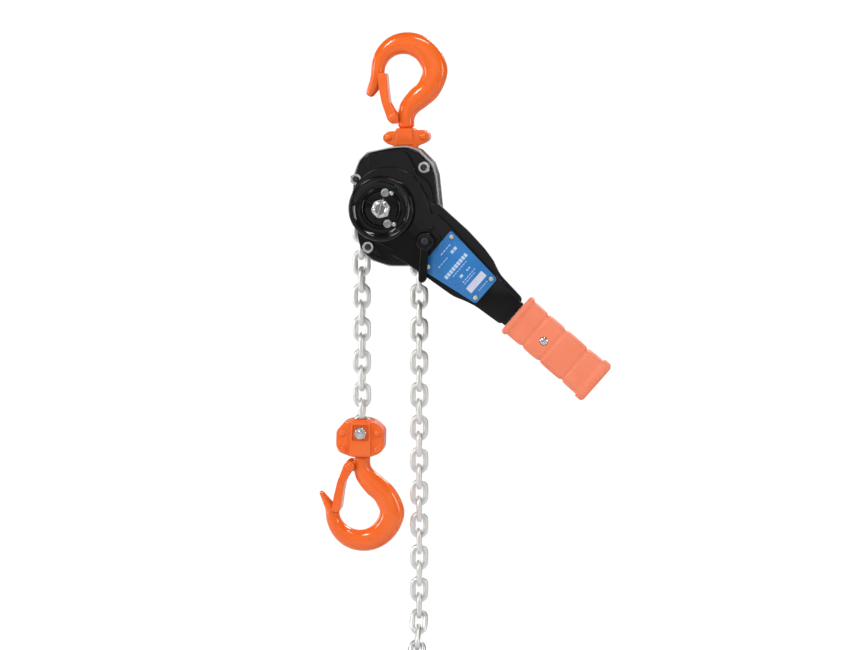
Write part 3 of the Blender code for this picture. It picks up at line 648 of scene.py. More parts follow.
# ---- Chain ---------------------------------------------------------------------------------------


@dataclass
class LoadChain:
    """Short-link zinc-plated load chain, laid along pins one pitch apart.

    Attributes:
        sides: Sides of the wire's section.
        bend_steps: Steps round each end of a link.
        weld: How much the wire swells at its weld, in mm.
        twist: The slight turn of hanging chain about its own length, in degrees.
        slack: How much thinner the wire is than its room, in mm.
    """

    sides: int = 12
    bend_steps: int = 10
    weld: float = 0.35
    twist: float = 7.0
    slack: float = 0.06

    def link(self, centre: Vector, along: Vector, across: Vector) -> Rings:
        """Gives one link's rings of points.

        Args:
            centre: Its centre, in the sheave's frame.
            along: Unit vector along it.
            across: Unit vector across it.

        Returns:
            Rings round its oval, in world metres.
        """
        radius = WIRE / 2 - self.slack
        bend = LINK_WIDTH / 2 - WIRE / 2
        straight = PITCH / 2 + WIRE / 2 - bend
        flat = along.cross(across)
        path = []
        for end in (1, -1):
            for step in range(self.bend_steps + 1):
                a = math.radians(-90 + 180 * step / self.bend_steps)
                path.append((end * (straight + bend * math.cos(a)), end * bend * math.sin(a), radius,
                             Vector((end * math.cos(a), end * math.sin(a)))))
            for step in (-2, -1, 0, 1, 2):
                swell = self.weld * math.exp(-step * step / 1.2) if end == 1 else 0.0
                path.append((-end * step * straight * 0.3, end * bend, radius + swell, Vector((0, end))))
        rings = []
        for x, y, r, out in path:
            base = centre + along * x + across * y
            away = along * out.x + across * out.y
            rings.append([world(*(base + away * c + flat * s)) for c, s in arc(r, steps=self.sides)])
        return rings

    def along_pins(self, name: str, pins: list[Vector], first_flat: bool, twist: float = 0.0) -> Piece:
        """Builds a run of links through its pins.

        Args:
            name: The piece's name.
            pins: Where successive links meet, in the sheave's frame.
            first_flat: Whether the first link lies across the run's plane.
            twist: Degrees that the far end has turned about the run.

        Returns:
            The piece.
        """
        plane = Vector((0, 1, 0))
        points, faces = [], []
        for i, (a, b) in enumerate(zip(pins, pins[1:])):
            along = (a - b).normalized()
            flat = (plane - along * plane.dot(along)).normalized()
            across = flat if (i % 2 == 0) == first_flat else along.cross(flat)
            turn = math.radians(twist * min(1.0, i / 3))
            across = across * math.cos(turn) + along.cross(across) * math.sin(turn)
            rings = self.link((a + b) / 2, along, across)
            faces += skin(rings, len(points), closed=True)
            points += [p for ring in rings for p in ring]
        return solid(name, points, faces, CHAIN_ZINC)


@dataclass
class LoadRun:
    """The run from the sheave to the bottom yoke, and the links over the sheave.

    Attributes:
        links: Links in the run.
        pockets: Half of the sheave's pockets that the chain lies in.
        chain: The chain.
    """

    links: int = 13
    pockets: int = 5
    chain: LoadChain = field(default_factory=LoadChain)

    def build(self) -> None:
        """Builds both stretches of chain."""
        top = JUNCTION - PITCH
        pins = [Vector((-RUN_RADIUS, 0, top - PITCH * j)) for j in range(self.links + 1)]
        finished(self.chain.along_pins("load_chain_links", pins, False), "load_run", "load_chain")
        over = [Vector((RUN_RADIUS, 0, -PITCH))]
        over += [Vector((x, 0, z)) for x, z in arc(RUN_RADIUS, (0, 0), self.pockets, 0, 180)]
        over.append(Vector((-RUN_RADIUS, 0, -PITCH)))
        finished(self.chain.along_pins("sheave_chain_links", over, True), "sheave", "chain_over_sheave")


@dataclass
class FreeRun:
    """The free chain: straight down, then its spare length wound into a tied coil with the end ring.

    Attributes:
        hang_x: Where it hangs.
        straight_to: Height of the end of its straight run.
        aside_from: Height from which it goes over to the coil's first turn.
        coil_radius: Radius of the middle of the coil's turns.
        layers: Turns that lie side by side.
        coil_step: Spacing of the turns along Y.
        entry: Where on the coil the first turn starts, in degrees.
        swept: Degrees from there to the coil's lowest point, where the chain ends.
        ring_radius: Radius of the middle of the end ring's wire.
        ring_wire: Radius of that wire.
        chain: The chain.
    """

    hang_x: float = 33.8
    straight_to: float = -500.0
    aside_from: float = -440.0
    coil_radius: float = 45.0
    layers: int = 4
    coil_step: float = 20.4
    entry: float = 28.0
    swept: float = 1198.0
    ring_radius: float = 10.75
    ring_wire: float = 2.25
    chain: LoadChain = field(default_factory=LoadChain)

    def pins(self) -> list[Vector]:
        """Gives the straight run's pins, leaning out first.

        Returns:
            Where successive links meet, from the top.
        """
        lean = math.asin((self.hang_x - RUN_RADIUS) / (3 * PITCH))
        x, z = RUN_RADIUS, JUNCTION - PITCH
        pins = [Vector((x, 0, z))]
        for _ in range(3):
            x, z = x + PITCH * math.sin(lean), z - PITCH * math.cos(lean)
            pins.append(Vector((x, 0, z)))
        while z > self.straight_to:
            z -= PITCH
            pins.append(Vector((x, 0, z)))
        return pins

    def centre(self) -> Vector:
        """Gives the coil's centre."""
        last = self.pins()[-1]
        return Vector((last.x, 0, last.z - 6.3 - (self.coil_radius + LINK_WIDTH / 2)))

    def route(self) -> list[Vector]:
        """Gives the route below the straight run: aside, into the coil, and round to its end.

        Returns:
            Close points along it.
        """
        last, centre, first_y = self.pins()[-1], self.centre(), -(self.layers - 1) * self.coil_step / 2
        route = [Vector((last.x, 0, self.aside_from))]
        for i in range(1, 13):
            t = i / 12
            route.append(Vector((last.x, first_y * t * t * (3 - 2 * t),
                                 self.aside_from + (last.z - self.aside_from) * t)))
        for i in range(1, 5):
            t = i / 5
            a = math.radians(90 - (90 - self.entry) * t)
            target = centre.z + self.coil_radius * math.sin(math.radians(self.entry))
            route.append(Vector((last.x + self.coil_radius * math.cos(a) * t, first_y,
                                 last.z - 9 * t + (target - last.z + 9) * t * t)))
        count = int(self.swept / 9)
        for i in range(count + 1):
            gone = self.swept * i / count
            a = math.radians(self.entry - gone)
            turn, part = divmod(gone, 360)
            step = min(1.0, max(0.0, (part - 195) / 80))
            y = first_y + self.coil_step * (turn + step * step * (3 - 2 * step))
            route.append(centre + Vector((self.coil_radius * math.cos(a), y, self.coil_radius * math.sin(a))))
        return route

    @staticmethod
    def respaced(route: list[Vector]) -> list[Vector]:
        """Gives points one pitch apart along a route.

        Args:
            route: Close points along it.

        Returns:
            The new points.
        """
        here, need = route[0], PITCH
        points = [here]
        for target in route[1:]:
            while (target - here).length >= need:
                here = here + (target - here).normalized() * need
                points.append(here)
                need = PITCH
            need -= (target - here).length
            here = target
        return points

    def build(self) -> None:
        above = [p for p in self.pins() if p.z > self.aside_from]
        points = above + self.respaced([above[-1], *self.route()])[1:]
        if len(points) % 2 == 0:
            points.pop()
        piece = finished(self.chain.along_pins("free_chain_links", points, False, twist=self.chain.twist),
                         "free_run", "free_chain")
        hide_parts("free_chain_coil")
        ties = [self.tie(name, degrees) for name, degrees in (("coil_tie_upper", -4), ("coil_tie_lower", -62))]
        ring = self.end_ring(points[-1])

    def end_ring(self, end: Vector) -> Piece:
        """Builds the ring that hangs in the last link and keeps the chain's end out of the hoist.

        Args:
            end: The last pin.

        Returns:
            The ring.
        """
        middle = end + Vector((1.5, 0, -self.ring_radius - 0.6))
        rings = []
        for x, z in arc(1, steps=40):
            out = Vector((x, 0, z))
            rings.append([world(*(middle + out * (self.ring_radius + r) + Vector((0, y, 0))))
                          for r, y in arc(self.ring_wire, steps=12)])
        ring = loft("chain_stop_ring", rings, ZINC, closed=True)
        return finished(ring, "free_run", "chain_end_ring")

    def tie(self, name: str, degrees: float) -> Piece:
        """Builds one nylon tie round all the coil's turns.

        Args:
            name: The piece's name.
            degrees: Where on the coil it is.

        Returns:
            The tie.
        """
        a = math.radians(degrees)
        out = Vector((math.cos(a), 0, math.sin(a)))
        middle = self.centre() + out * self.coil_radius
        half_r, half_y = LINK_WIDTH / 2 - 0.5, (self.layers - 1) * self.coil_step / 2 + LINK_WIDTH / 2 - 4
        loop = softened([(half_r, half_y), (-half_r, half_y), (-half_r, -half_y), (half_r, -half_y)], 7, 6)
        along = out.cross(Vector((0, 1, 0)))
        rings = []
        for r, y in loop:
            n = Vector((r, y)).normalized()
            rings.append([
                world(*(middle + out * (r + n.x * d) + Vector((0, y + n.y * d, 0)) + along * s))
                for d, s in ((-0.6, -1.8), (0.6, -1.8), (0.6, 1.8), (-0.6, 1.8))
            ])
        return finished(loft(name, rings, TIE, closed=True), "free_run", angle=30)


# ---- Hooks ---------------------------------------------------------------------------------------


@dataclass
class ForgedHook:
    """A forged swivel hook with its sprung latch.

    Attributes:
        prefix: "top" or "bottom".
        seat: The seat of its bowl.
        turned_over: Whether it points down, as the bottom hook does.
        bowl: Radius inside the smaller hook's bowl.
        grow: How much larger this hook's bowl is.
        pivot: The latch's rivet.
        latch_length: From the rivet to the latch's end.
        latch_reach: How far the larger hook moves that end.
    """

    prefix: str
    seat: Point
    turned_over: bool
    bowl: float = 20.5
    grow: float = 0.0
    pivot: Point = (-10.2, -67.5)
    latch_length: float = 47.5
    latch_reach: Point = (-3.0, 2.0)

    def at(self, x: float, z: float) -> Point:
        """Gives a point of the hook's own frame in the sheave's frame."""
        return (self.seat[0] + x, self.seat[1] + (-z if self.turned_over else z))

    def reached(self, outline: Profile) -> Profile:
        """Puts an outline of the latch in the sheave's frame, longer and further out on the larger hook.

        Args:
            outline: The smaller hook's outline, in the hook's own frame.

        Returns:
            This hook's outline.
        """
        result = []
        for x, z in outline:
            t = max(0.0, (z - self.pivot[1]) / self.latch_length) if self.grow else 0.0
            result.append(self.at(x + self.latch_reach[0] * t, z + self.latch_reach[1] * t))
        return result

    def stations(self) -> Stations:
        """Gives the sections down the shank and round the bowl to the tip.

        Returns:
            For each, x, z, direction across, half width and half depth.
        """
        shank = [(SHANK_X, -76.5, 0.0, 8.7, 8.7), (SHANK_X, -68.0, 0.0, 9.2, 9.0)]
        g = self.grow
        neck = [(6.8, -57.5, -22.0, 11.0, 9.3), (16.6 + 0.2 * g, -47.0 + 0.4 * g, -42.0, 12.4, 9.9),
                (27.0 + 0.4 * g, -37.5 + 0.6 * g, -32.0, 12.8, 10.2)]
        bowl = []
        for degrees, outer in ((0, 47.8), (22, 47.2), (45, 46.3), (68, 45.2), (90, 43.6), (112, 41.5),
                               (135, 38.6), (158, 36.0), (180, 35.0)):
            middle, half = (self.bowl + outer) / 2 + g, (outer - self.bowl) / 2
            a = math.radians(degrees)
            bowl.append((middle * math.cos(a) - 0.25 * g, middle * math.sin(a) - self.bowl + 0.67 * g, degrees,
                         half, 6.5 + 0.3 * half))
        tip = [(-29.4, -29.5, 169.0, 7.2, 7.8), (-32.7, -36.5, 158.0, 6.2, 6.7),
               (-35.4, -41.5, 153.0, 4.9, 5.3)]
        if g:
            tip = [(-35.2, -25.8, 158.0, 5.0, 6.4), (-38.6, -31.2, 150.0, 3.8, 5.0),
                   (-41.2, -35.4, 148.0, 2.9, 3.4)]
        return [*shank, *neck, *bowl, *tip]

    def forging(self) -> Piece:
        """Builds the hook with its head, neck boss and rivet hole.

        Returns:
            The hook.
        """
        head = [(-95.5, 5.8), (-94.9, 6.6), (-93.2, 8.4), (-92.6, 8.6), (-88.6, 8.6), (-88.2, 8.3), (-88.0, 7.0),
                (-78.7, 7.0), (-78.2, 7.6), (-77.2, 8.4)]
        stations = [(SHANK_X, z, 0.0, r, r) for z, r in head]
        stations += smooth_run(self.stations(), 5)
        x, z, degrees, half, depth = stations[-1]
        for out, share in ((1.5, 0.92), (2.8, 0.72), (3.5, 0.5), (3.8, 0.25)):
            a = math.radians(degrees + 90)
            stations.append((x + out * math.cos(a), z + out * math.sin(a), degrees, half * share,
                             depth * share))
        rings = []
        for x, z, degrees, half, depth in stations:
            a = math.radians(degrees)
            ring = []
            for c, s in arc(1, steps=28):
                w = half * math.copysign(abs(c) ** 0.9, c)
                px, pz = self.at(x + w * math.cos(a), z + w * math.sin(a))
                ring.append(world(px, depth * math.copysign(abs(s) ** 0.9, s), pz))
            rings.append(ring)
        hook = loft(self.prefix + "_hook_forging", rings, HOOK_ORANGE)
        px, pz = self.pivot
        boss = [(px - 4.5, pz - 2), (px - 3, pz + 4), (px + 3, pz + 5), (0, -60), (0, -74), (px + 2, pz - 5)]
        lug = prism("lug", [self.at(x, z) for x, z in softened(boss, 2.5)], -4.5, 4.5)
        return drilled(join(hook, rounded(lug, 0.8, 2)), self.at(px, pz), 2.8)

    def channel(self) -> Piece:
        """Builds the pressed latch: a bent channel that straddles the hook's tip.

        Returns:
            The latch.
        """
        left = [(-27.2, -20.0), (-25.2, -36.5), (-22.4, -51.5), (-18.2, -63.5), (-15.6, -71.0), (-10.5, -75.0)]
        right = [(-4.8, -73.0), (-3.9, -66.5), (-9.8, -58.5), (-13.8, -51.5), (-15.6, -38.0), (-17.2, -20.0)]
        room = [(-30, -17), (-30, -80), (0, -80), (0, -52.5), (-15.6, -52.5), (-17.4, -38.0), (-19.0, -17.0)]
        outer = softened(self.reached(left + right), 2.6)
        latch = rounded(prism(self.prefix + "_latch_channel", outer, -11.2, 11.2, HOOK_ORANGE), 1.0, 3)
        cut(latch, prism("room", self.reached(room), -9.8, 9.8))
        return drilled(latch, self.at(*self.pivot), 2.8)

    def spring(self, side: int) -> Piece:
        """Builds one coil of the latch's torsion spring, beside the boss.

        Args:
            side: -1 for the front one, 1 for the rear one.

        Returns:
            The coil.
        """
        turns, steps = 4, 18
        ring = arc(3.7, self.at(*self.pivot), steps)
        path = []
        for i in range(turns * steps + 1):
            x, z = ring[i % steps]
            path.append(world(x, side * (5.3 + 3.6 * i / (turns * steps)), z))
        return rod(f"{self.prefix}_latch_spring_{'front' if side < 0 else 'rear'}", path, 0.42, STEEL, 8)

    def build(self) -> None:
        """Builds the hook, latch, springs and rivet."""
        hook = self.prefix + "_hook"
        finished(self.forging(), hook, hook, angle=50)
        finished(self.channel(), self.prefix + "_latch", self.prefix + "_latch", angle=30)
        for side in (-1, 1):
            finished(self.spring(side), hook)
        pin = [(-12.6, 0), (-12.6, 2.2), (-12.3, 3.3), (-11.8, 4.1), (-11.5, 4.4), (-11.5, 2.5), (11.5, 2.5),
               (11.5, 4.4), (11.8, 4.1), (12.3, 3.3), (12.6, 2.2), (12.6, 0)]
        rivet = turned(self.prefix + "_latch_rivet", pin, self.at(*self.pivot), HOOK_ORANGE, 32)
        finished(rivet, hook, self.prefix + "_latch_pin")


# ---- Yokes ---------------------------------------------------------------------------------------


def riveted(body: Piece, rivets: list[Point], face: float) -> Piece:
    """Joins domed rivet heads to a yoke's outer face.

    Args:
        body: The yoke's half.
        rivets: Where they are.
        face: The face's Y.

    Returns:
        The half.
    """
    side = math.copysign(1, face)
    dome = [(-2, 0), (-2, 4.0), (0.2, 4.0), (1.2, 3.5), (2.0, 2.4), (2.3, 1.0), (2.3, 0)]
    for rivet in rivets:
        join(body, turned("rivet", [(face + side * y, r) for y, r in dome], rivet, None, 24))
    return body


def hook_pocket(at: Point, sign: int) -> Piece:
    """Gives the room for a hook's head and neck, turned round an upright axis.

    Args:
        at: The neck's place where it leaves the yoke.
        sign: 1 if the hook leaves upwards, -1 if downwards.

    Returns:
        The tool that cuts the room.
    """
    profile = [(-17.0, 9.0), (-8.5, 9.0), (-8.5, 7.6), (12.0, 7.6)]
    rings = [[world(x, y, at[1] + sign * z) for x, y in arc(r, (at[0], 0), 32)] for z, r in profile]
    return loft("pocket", rings)


@dataclass
class TopYoke:
    """The two forged halves between the top pin and the top hook.

    Attributes:
        pin: The top pin's place.
        depth: Outer face of a half.
    """

    pin: Point = (19.8, 55.0)
    depth: float = 12.0

    def outline(self) -> Profile:
        """Gives the halves' outline.

        Returns:
            The outline, with an ear at each side.
        """
        x0, z0 = TOP_HOOK[0] + SHANK_X, TOP_HOOK[1]
        px, pz = self.pin
        return [
            (x0 - 9.5, z0 - 79), (x0 - 10.5, z0 - 82), (x0 - 19, z0 - 82.5), (x0 - 24, z0 - 87),
            (x0 - 24, z0 - 92), (x0 - 19, z0 - 96), (px - 12, z0 - 98), (px - 10.5, pz), (px - 6, pz - 9),
            (px + 6, pz - 9), (px + 10.5, pz), (px + 12, z0 - 98), (x0 + 21, z0 - 95), (x0 + 26, z0 - 91),
            (x0 + 26, z0 - 85), (x0 + 21, z0 - 81), (x0 + 10.5, z0 - 81), (x0 + 9.5, z0 - 79),
        ]

    def build(self) -> None:
        """Builds both halves."""
        x0, z0 = TOP_HOOK[0] + SHANK_X, TOP_HOOK[1]
        for side, name in ((-1, "front"), (1, "rear")):
            outline = softened(self.outline(), 3, 3)
            half = prism(f"top_yoke_{name}_forging", outline, side * 0.15, side * self.depth, HOOK_ORANGE)
            rounded(half, 1.8, 3)
            raised = [(x0 - 10.5, z0 - 97), (x0 + 8.5, z0 - 97), (x0 + 8.0, z0 - 80), (x0 - 8.5, z0 - 80)]
            panel = prism("panel", softened(raised, 2), side * (self.depth - 2), side * (self.depth + 1.4))
            join(half, rounded(panel, 1.2, 3))
            cut(half, hook_pocket((x0, z0 + YOKE_TOP), 1))
            riveted(half, [(x0 - 18, z0 - 89), (x0 + 19.5, z0 - 88)], side * self.depth)
            drilled(half, self.pin, 6.3, 32)
            finished(half, "top_yoke", f"top_yoke_{name}")


@dataclass
class BottomYoke:
    """The two halves round the load chain's last link and the bottom hook's head, and their bolt.

    Attributes:
        depth: Outer face of a half.
        panel: How far its raised panel stands out from that.
    """

    depth: float = 13.0
    panel: float = 2.2

    def build(self) -> None:
        """Builds both halves, the bolt and its nut."""
        x0, z0 = -RUN_RADIUS, BOTTOM_YOKE_Z
        bolt = (x0, z0 + 6.0)
        outline = [
            (x0 - 8, z0 + 20.5), (x0 - 18, z0 + 18), (x0 - 27, z0 + 8), (x0 - 27.5, z0 - 9), (x0 - 24, z0 - 16),
            (x0 - 10, z0 - 21), (x0 + 10, z0 - 21), (x0 + 20, z0 - 17), (x0 + 25, z0 - 12), (x0 + 25.5, z0 + 9),
            (x0 + 17, z0 + 17), (x0 + 9, z0 + 20.5),
        ]
        raised = [(x0 - 12.5, z0 - 19), (x0 + 11, z0 - 19), (x0 + 11, z0 + 18), (x0 - 9.5, z0 + 18)]
        recess = [(x0 - 9.6, z0 - 2.4), (x0 + 9.2, z0 - 2.4), (x0 + 9.2, z0 + 14.9), (x0 - 8.6, z0 + 14.9)]
        rivets = [(x0 - 20, z0 + 6), (x0 + 18.5, z0 + 6), (x0 - 20, z0 - 12), (x0 + 18.5, z0 - 12)]
        for side, name in ((-1, "front"), (1, "rear")):
            shape, face = softened(outline, 3, 3), side * self.depth
            half = prism(f"bottom_yoke_{name}_forging", shape, side * 0.15, face, HOOK_ORANGE)
            rounded(half, 2.4, 4)
            panel = prism("panel", softened(raised, 2, 3), face - side * 3, face + side * self.panel)
            floor = face + side * 0.05
            sunk = prism("recess", softened(recess, 1.5, 2), floor, face + side * 8)
            join(half, cut(rounded(panel, 1.2, 3), sunk))
            cut(half, hook_pocket((x0, z0 - 21), -1))
            riveted(half, rivets, face)
            for low, z, high, y in ((11.5, -6, 15.5, 3.8), (4.5, 9, 9.0, 11.0)):
                slot = [(-high, 30), (-low, z), (low, z), (high, 30)]
                cut(half, prism("slot", [(x0 + u, z0 + v) for u, v in slot], -y, y))
            drilled(half, bolt, 3.4, 32)
            finished(half, "bottom_yoke", f"bottom_yoke_{name}")
        shank = [(-18.0, 0), (-18.0, 2.2), (-17.4, 3.3), (-16.8, 3.4), (-13.3, 3.4), (-13.3, 3.1), (19.2, 3.1),
                 (19.5, 2.8), (19.5, 0)]
        head = hex_head("chain_bolt_turned", bolt, 13.8, -17.0, -13.3, ZINC, 10)
        finished(join(head, turned("shank", shank, bolt, None, 40)), "bottom_yoke", "chain_bolt")
        nut = hex_head("chain_bolt_lock_nut", bolt, 14.0, 13.3, 19.0, ZINC, 30)
        finished(drilled(nut, bolt, 3.4), "bottom_yoke", "chain_bolt_nut")


# ---- Housing -------------------------------------------------------------------------------------


@dataclass
class Housing:
    """Covers, nuts and bolt heads outside the two side plates.

    Attributes:
        plate: Outer face of a side plate.
        flange: Outer face of a cover's flange.
        brake_front: Front of the brake cover.
        gear_back: Back of the gear cover.
    """

    plate: float = 19.0
    flange: float = 25.5
    brake_front: float = -36.0
    gear_back: float = 41.0

    def cover(self, name: str, end: float, raised: Profile, posts: tuple[Point, ...]) -> Piece:
        """Builds a pressed cover: a flange, a rounded dome, and room for nuts on the flange.

        Args:
            name: The piece's name.
            end: The dome's outer face.
            raised: The dome's outline.
            posts: Where nuts or bolt heads sit on the flange.

        Returns:
            The cover.
        """
        side = math.copysign(1, end)
        start, step = side * (self.plate + GAP), side * self.flange
        base = rounded(prism(name, softened(inset(OUTLINE, 1.2), 6), start, step, BLACK_PAINT), 2.2, 4)
        dome = prism("dome", softened(raised, 4), start, end)
        hollow = prism("hollow", inset(raised, 2.5), start - side * 2, end - side * 2)
        for at in posts:
            drilled(dome, at, 9.5, 32)
            drilled(hollow, at, 12)
        cut(join(base, rounded(dome, 2.6, 4, 40)), hollow)
        for at in posts:
            drilled(base, at, 3.8)
        return base

    def build(self) -> None:
        """Builds the covers and everything fastened through them."""
        front = self.cover("brake_cover_pressing", self.brake_front, BRAKE_DOME, (*COVER_NUTS, STUD))
        finished(drilled(front, (0, 0), 22, 64), "housing", "brake_cover", angle=30)
        back = self.cover("gear_cover_pressing", self.gear_back, inset(OUTLINE, 5.0), (*COVER_NUTS, LOW_BOLT))
        finished(back, "housing", "gear_cover", angle=30)
        for i, at in enumerate((*COVER_NUTS, STUD), 1):
            nut = hex_head(f"cover_lock_nut_{i}", at, 13.4, -31.2, -25.8, ZINC, 30)
            finished(drilled(nut, at, 3.7), "housing", f"cover_nut_{i}")
        for i, at in enumerate((*COVER_NUTS, LOW_BOLT), 1):
            front_end = -19.0 if at == LOW_BOLT else -33.0
            head = hex_head(f"stay_bolt_{i}_turned", at, 13.0, 25.8, 31.0, ZINC)
            shank = [(front_end, 0), (front_end, 2.9), (front_end + 0.6, 3.5), (-15.7, 3.5), (-15.7, 5.5),
                     (15.7, 5.5), (15.7, 3.5), (28, 3.5), (28, 0)]
            finished(join(head, turned("shank", shank, at, None, 32)), "housing", f"stay_bolt_{i}")
            if at != LOW_BOLT:
                self.stud_end(f"stay_bolt_{i}_end", at)
        stud = [(-33, 0), (-33, 2.9), (-32.4, 3.5), (-15.7, 3.5), (-15.7, 5.5), (-13.2, 5.5), (-13.2, 0)]
        finished(turned("cover_stud_turned", stud, STUD, ZINC, 32), "housing", "cover_stud")
        self.stud_end("cover_stud_end", STUD)

    @staticmethod
    def stud_end(name: str, at: Point) -> None:
        """Builds the end of a stud in its nut, coloured dark as painted shade: it stands in for the shade inside
        the nut's hollow.

        Args:
            name: The piece's name.
            at: The stud's place.
        """
        end = [(-33.9, 0), (-33.9, 2.6), (-33.4, 3.2), (-33.05, 3.3), (-33.05, 0)]
        # The dark colour is painted shade, standing in for the shade inside the nut's hollow; the stud end
        # actually stands out past the nut.
        finished(turned(name, end, at, DARK_STEEL_AND_SHADE, 24), "housing")


# ---- Hand wheel ----------------------------------------------------------------------------------


@dataclass
class HandWheel:
    """The dished free-chain wheel with its stop bolts and castle nut.

    Attributes:
        radius: The rim's radius.
        bolts: The stop bolts' places.
        rib_turns: Where the ribs are, in degrees.
        nut_turn: How far the castle nut is turned, in degrees.
    """

    radius: float = 34.8
    bolts: tuple[Point, ...] = ((4.5, 16.8), (7.0, -15.8))
    rib_turns: tuple[float, ...] = (242, 322, 150)
    nut_turn: float = 15

    @staticmethod
    def beside(at: Point) -> Point:
        """Gives the place of the dowel beside a stop bolt."""
        return (at[0] + 7.2, at[1] - 0.4)

    def dish(self) -> Piece:
        """Builds the wheel: rolled rim, dished web, recess ring, ribs and bolt seats.

        Returns:
            The wheel.
        """
        r = self.radius
        profile = [
            (-51.0, 5.3), (-51.0, 29.5), (-52.0, 32.0), (-53.4, 33.7), (-55.6, r - 0.2), (-58, r), (-61, r),
            (-62.8, r - 0.5), (-64.0, r - 1.5), (-64.5, r - 2.9), (-64.3, r - 4.2), (-63.2, 29.2), (-61.6, 27.4),
            (-60.5, 25.2), (-60.2, 23.2), (-60.4, 21.9), (-61.2, 21.0), (-62.0, 20.4), (-62.4, 19.7),
            (-62.2, 19.0), (-61.2, 18.4), (-60.0, 17.6), (-59.6, 16.6), (-59.6, 5.3),
        ]
        wheel = turned("hand_wheel_dish", profile, (0, 0), BLACK_PAINT, 96)
        rib = [(12.0, -1.6), (19.5, -0.4), (19.5, 2.0), (12.0, 1.2)]
        for degrees in self.rib_turns:
            join(wheel, rounded(prism("rib", swung(rib, degrees), -60.9, -58.5), 0.5, 2))
        seat = [(-70, 0), (-70, 6.2), (-59.6, 6.2), (-59.6, 2.8), (-40, 2.8), (-40, 0)]
        for at in self.bolts:
            drilled(wheel, self.beside(at), 2.45, high=-58.9)
            cut(wheel, turned("seat", seat, at, None, 32))
        return wheel

    def castle_nut(self) -> Piece:
        """Builds the castle nut: chamfered hexagon, slotted crown.

        Returns:
            The nut.
        """
        nut = hex_head("castle_nut_milled", (0, 0), 21.5, -66.2, -59.9, ZINC, self.nut_turn)
        profile = [(-69.0, 5.2), (-69.5, 6.0), (-69.3, 7.2), (-68.4, 8.1), (-65.6, 8.4), (-65.6, 5.2)]
        crown = turned("crown", profile)
        slot = [(-12, -1.2), (12, -1.2), (12, 1.2), (-12, 1.2)]
        for turn in (0, 60, 120):
            cut(crown, prism("slot", swung(slot, self.nut_turn + turn), -72, -67.4))
        return drilled(join(nut, crown), (0, 0), 5.2, 32)

    def split_pin(self) -> Piece:
        """Builds the split pin through the castle nut.

        Returns:
            The pin.
        """
        path = [(-9.0, 0.4, -68.4), (-7.0, 0, -68.5), (6.5, 0, -68.5), (8.5, 0.3, -68.2), (9.3, 1.4, -67.2)]
        points = []
        for u, v, y in smooth_run(path, 4):
            x, z = swung([(u, v)], self.nut_turn + 60)[0]
            points.append(world(x, y, z))
        return rod("castle_nut_split_pin", points, 0.85, STEEL, 10)

    def build(self) -> None:
        """Builds the wheel, its bolts and the nut."""
        finished(self.dish(), "hand_wheel", "hand_wheel", angle=32)
        for i, at in enumerate(self.bolts, 1):
            bolt = [(-62.4, 0), (-62.4, 1.7), (-63.2, 2.0), (-63.4, 2.6), (-63.3, 3.6), (-62.9, 4.3),
                    (-62.2, 4.6), (-59.9, 4.6), (-59.9, 2.5), (-51.3, 2.5), (-51.3, 0)]
            finished(turned(f"stop_bolt_{i}_turned", bolt, at, STEEL, 32), "hand_wheel", f"stop_bolt_{i}")
            dowel = [(-66.0, 0), (-66.0, 1.2), (-65.7, 2.0), (-65.0, 2.4), (-59.0, 2.4), (-59.0, 0)]
            finished(turned(f"stop_dowel_{i}", dowel, self.beside(at), ZINC, 24), "hand_wheel")
        finished(self.castle_nut(), "drive_shaft", "castle_nut")
        finished(self.split_pin(), "drive_shaft")


# ---- Lever ---------------------------------------------------------------------------------------


def along_lever(u: float, v: float) -> Point:
    """Gives a point u along the lever and v to its upper side, in the sheave's frame."""
    return swung([(u, v)], LEVER_ANGLE)[0]


def lever_prism(name: str, outline: Profile, y0: float, y1: float, finish: Finish | None = None) -> Piece:
    """Makes a prism from an outline in the lever's own u and v."""
    return prism(name, swung(outline, LEVER_ANGLE), y0, y1, finish)


